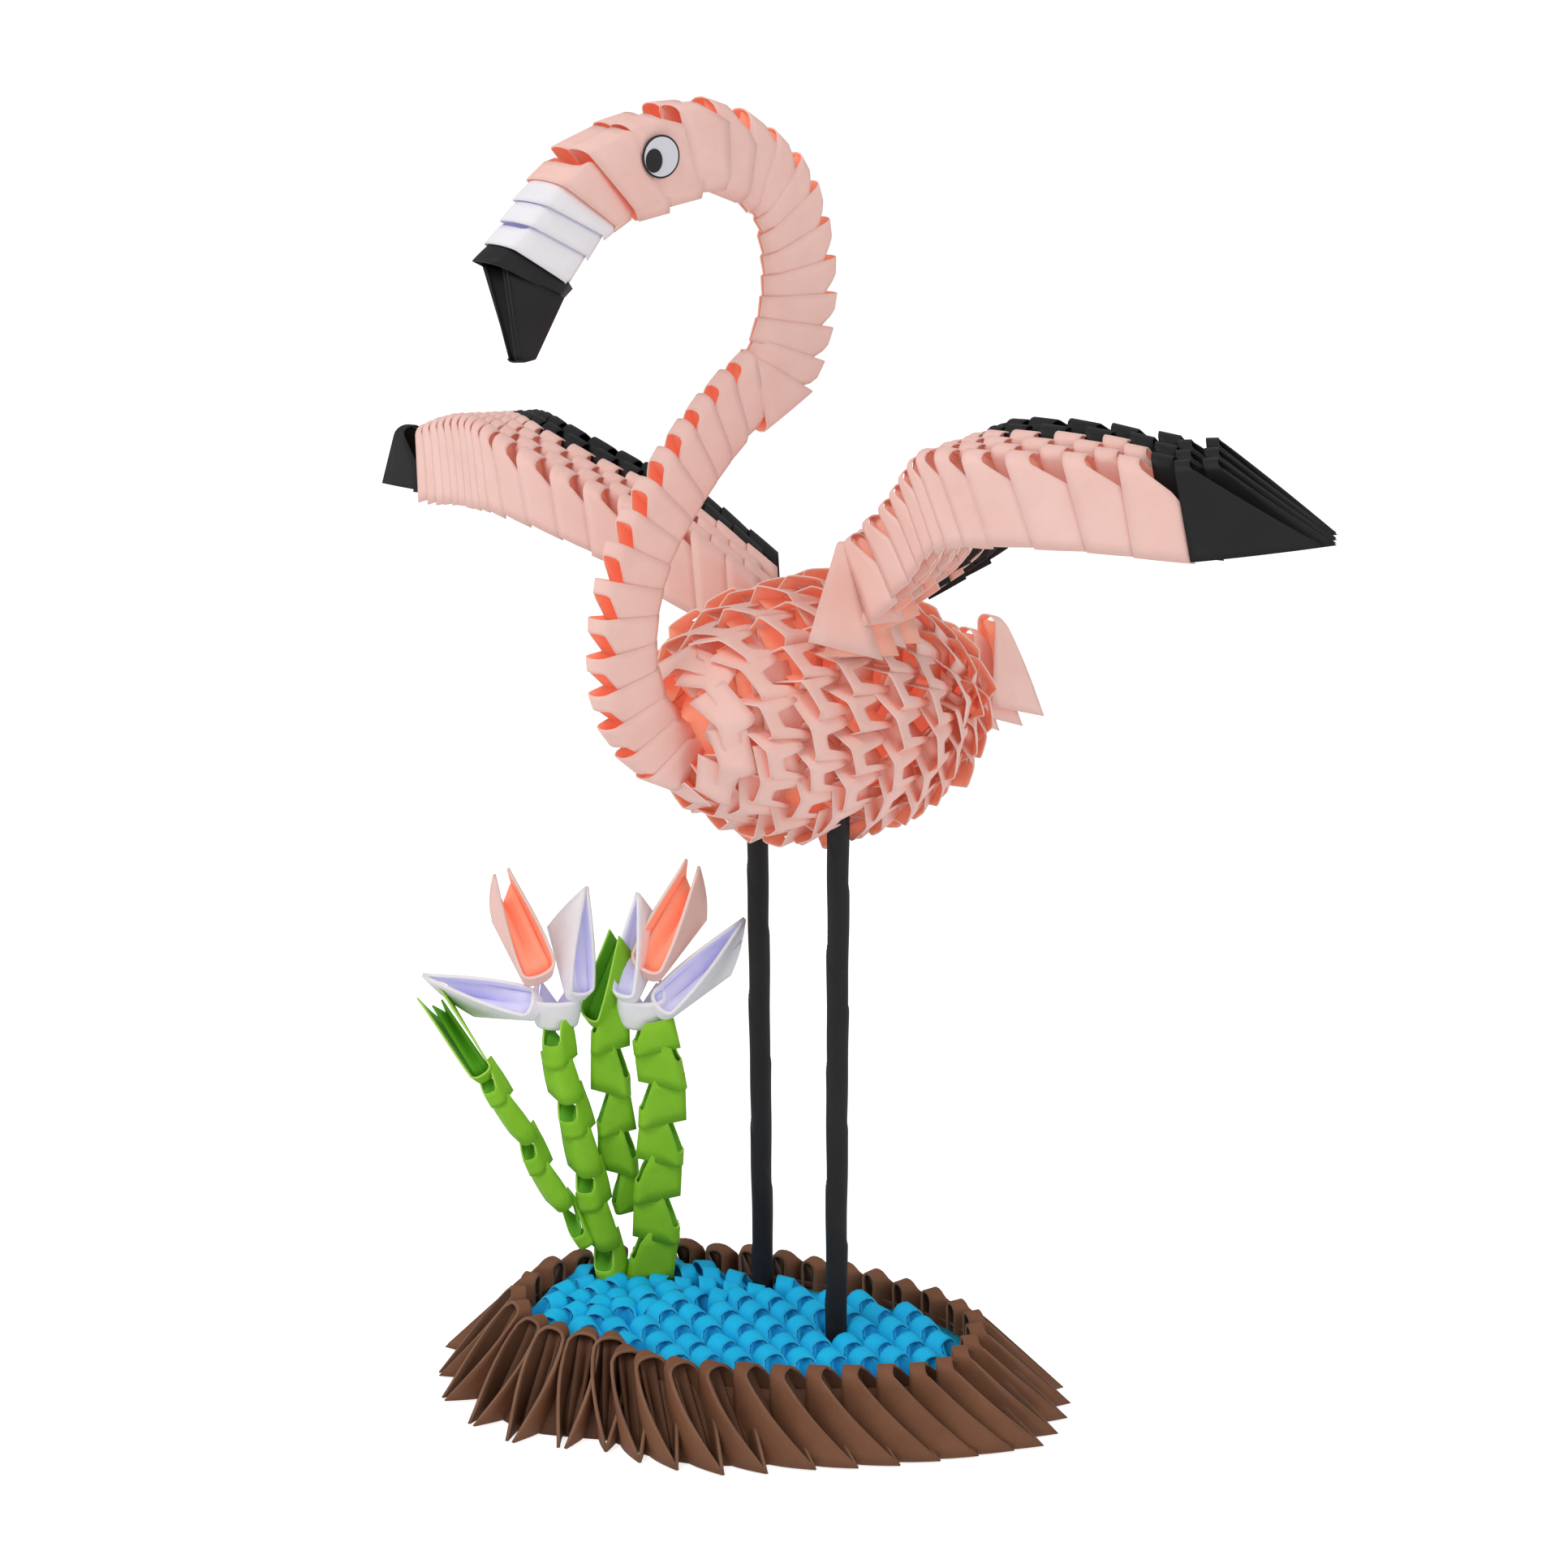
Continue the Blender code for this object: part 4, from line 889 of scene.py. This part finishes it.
def inside_pond(spot, edge):
    inside = False
    nearest = min((corner - spot).length for corner in edge)
    for step in range(len(edge)):
        start = edge[step]
        end = edge[(step + 1) % len(edge)]
        if (start.y > spot.y) != (end.y > spot.y):
            crossing = (end.x - start.x) * (spot.y - start.y) / (end.y - start.y) + start.x
            if spot.x < crossing:
                inside = not inside
    return inside and nearest > POND_MARGIN


def near_plants(spot):
    return spot.x - 0.4 * spot.y < ROWS_FROM


def pond_places():
    # Where each water unit stands and the way it points
    places = []
    for ring in range(1, RINGS + 1):
        radius = 0.10 + ring * RING_STEP
        count = int(2 * pi * radius / RING_UNIT)
        for step in range(count):
            angle = 2 * pi * (step + 0.5 * (ring % 2)) / count
            out = vec(cos(angle), sin(angle), 0)
            spot = PLANTS + out * radius
            if near_plants(spot):
                places.append((spot, out))
    for row in range(-8, 9):
        for column in range(-14, 15):
            along = ACROSS * (column + 0.5 * (row % 2)) * ROW_UNIT
            spot = along - TOWARD * row * ROW_STEP + ROWS_MIDDLE
            if not near_plants(spot):
                places.append((spot, ROWS_WAY))
    return places


def build_pond():
    group = Group("pond_folds", "blue", ["pond"], FULL_PAPER)
    legs = [vec(foot[0], foot[1], 0) for foot, top in LEG_LINES.values()]
    edge = pond_edge()
    low = vec(0, 0, -WATER_DEPTH)
    for spot, way in pond_places():
        if not inside_pond(spot, edge) or any((spot - leg).length < LEG_MARGIN for leg in legs):
            continue
        out = (way + vec(random.uniform(-0.3, 0.3), random.uniform(-0.3, 0.3), 0)).normalized()
        nose = spot + vec(0, 0, POND_TOP + 0.10 + random.uniform(-0.05, 0.05)) - out * 0.25
        side = vec(-out.y, out.x, 0)
        then = nose + out * WATER_LENGTH
        rim = Rim(nose, nose + low, side, WATER_HALF, WATER_END_HALF, WATER_BOW)
        following = Rim(then - UP * 0.12, then + low, side, WATER_HALF, WATER_END_HALF, WATER_BOW)
        chain_unit(group, rim, following, WATER_BAND, 1.5, reach=1.0, tuck=0.03, narrow=0.30, cavity=0.75)
    group.done()

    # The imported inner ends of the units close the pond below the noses
    bed = Group("pond_bed", "blue", [])

    def sheet(u, v):
        spot = POND_MIDDLE + (edge[int(round(u * len(edge))) % len(edge)] - POND_MIDDLE) * (1 - v)
        return vec(spot.x, spot.y, POND_TOP - 0.42)
    bed.close(bed.grid(len(edge), 8, sheet, lambda spot: UP))
    bed.done()


# Stalks and flowers

def stalk_rim(line, index, half, depth, turned):
    # The noses of the units are left and right in turn
    sign = 1 if index % 2 else -1
    here = Vector(line[index])
    up = (Vector(line[min(index + 1, len(line) - 1)]) - Vector(line[max(index - 1, 0)])).normalized()
    way = (ACROSS * -sign - TOWARD * turned).normalized()
    nose = here - way * half * 1.12 - up * 0.12
    return Rim(nose, here + way * half + up * 0.04, up.cross(way), depth, depth, depth * 0.7)


def petal(group, nose, tip, away, half, tip_half):
    # The rim runs off to the side that the flaps' broad faces are on
    nose = Vector(nose)
    rise = Vector(tip) - nose
    slope = rise.normalized()
    away = (away - slope * away.dot(slope)).normalized()
    corner = nose + rise * 0.5 + away * rise.length * 0.5
    rim = Rim(nose, corner, slope.cross(away), half, half * 0.7, half * 0.6)
    whole_unit(group, rim, tip, tip_half, PETAL_BAND, PETAL_SWELL)


def build_stalks():
    for name, (line, half, depth, turned) in STALKS.items():
        group = Group(name + "_folds", "green", [name], FULL_PAPER)
        for index in range(len(line) - 1):
            rim = stalk_rim(line, index, half, depth, turned)
            rise = Vector(line[index + 1]) - Vector(line[index])
            end = rim.point(rim.length, 0) + rise
            following = Rim(rim.nose + rise, end, rim.side, depth, depth, depth * 0.7)
            chain_unit(group, rim, following, STALK_BAND, STALK_SLOPE, narrow=0.12, cavity=0.8)
        if name in LEAVES:
            petal(group, *LEAVES[name])
        group.done()


def build_flowers():
    for number, (cup, whites, pink) in FLOWERS.items():
        group = Group("flower_%d_white_folds" % number, "white", ["flower_%d_white" % number], THICK_PAPER)
        low = Vector(cup)
        rim = Rim(low, low + AWAY * 0.7 + UP * 0.3, ACROSS, CUP_HALF, CUP_END_HALF, 0.3)
        whole_unit(group, rim, low + UP * CUP_HEIGHT + AWAY * 0.4, CUP_TIP_HALF, CUP_BAND)
        for white in whites:
            petal(group, *white)
        group.done()
        heart = Group("flower_%d_pink_folds" % number, "pink", ["flower_%d_pink" % number], THICK_PAPER)
        petal(heart, *pink)
        heart.done()


# Camera, light and floor

def build_camera():
    data = bpy.data.cameras.new("camera")
    data.sensor_fit = "HORIZONTAL"
    data.sensor_width = 36.0
    data.lens = CAMERA_LENS
    camera = bpy.data.objects.new("camera", data)
    camera.location = CAMERA_PLACE * CM
    camera.rotation_euler = CAMERA_WAY.to_track_quat("-Z", "Y").to_euler()
    bpy.context.scene.collection.objects.link(camera)
    bpy.context.scene.camera = camera


def build_lamps():
    for name, (place, size, power) in LAMPS.items():
        lamp = bpy.data.lights.new(name, "AREA")
        lamp.shape = "DISK"
        lamp.size = size
        lamp.energy = power
        hung = bpy.data.objects.new(name, lamp)
        hung.location = place
        hung.rotation_euler = (LAMPS_AIM - Vector(place)).to_track_quat("-Z", "Y").to_euler()
        bpy.context.scene.collection.objects.link(hung)


def camera_or_light(tree, lighting, seen):
    # One strength for what lights the object and another for what the camera sees
    ray = node(tree, "ShaderNodeLightPath").outputs["Is Camera Ray"]
    chosen = node(tree, "ShaderNodeMapRange", {"Value": ray, "To Min": lighting, "To Max": seen})
    return chosen.outputs["Result"]


def build_floor():
    # White studio paper, matt and lit until its shadows are faint
    material = bpy.data.materials.new("floor")
    material.use_nodes = True
    tree = material.node_tree
    shader = tree.nodes["Principled BSDF"]
    shader.inputs["Base Color"].default_value = (0.7, 0.7, 0.7, 1)
    shader.inputs["Roughness"].default_value = 0.9
    shader.inputs["Specular IOR Level"].default_value = 0.0
    shader.inputs["Emission Color"].default_value = (1, 1, 1, 1)
    tree.links.new(camera_or_light(tree, 0.3, 0.76), shader.inputs["Emission Strength"])
    work = bmesh.new()
    bmesh.ops.create_grid(work, x_segments=1, y_segments=1, size=FLOOR_HALF)
    finished("floor", work, (material,))


def build_world():
    world = bpy.data.worlds.new("studio")
    world.use_nodes = True
    tree = world.node_tree
    back = tree.nodes["Background"]
    back.inputs["Color"].default_value = (1, 1, 1, 1)
    tree.links.new(camera_or_light(tree, 0.46, 1.05), back.inputs["Strength"])
    bpy.context.scene.world = world
    bpy.context.scene.view_settings.view_transform = "Standard"


build_camera()
build_lamps()
build_floor()
build_world()
build_beak()
build_head_and_neck()
build_eyes()
build_body()
build_wing("left", LEFT_WING, LEFT_BACK)
build_wing("right", RIGHT_WING, RIGHT_BACK)
build_tail()
build_legs()
build_rim()
build_pond()
build_stalks()
build_flowers()
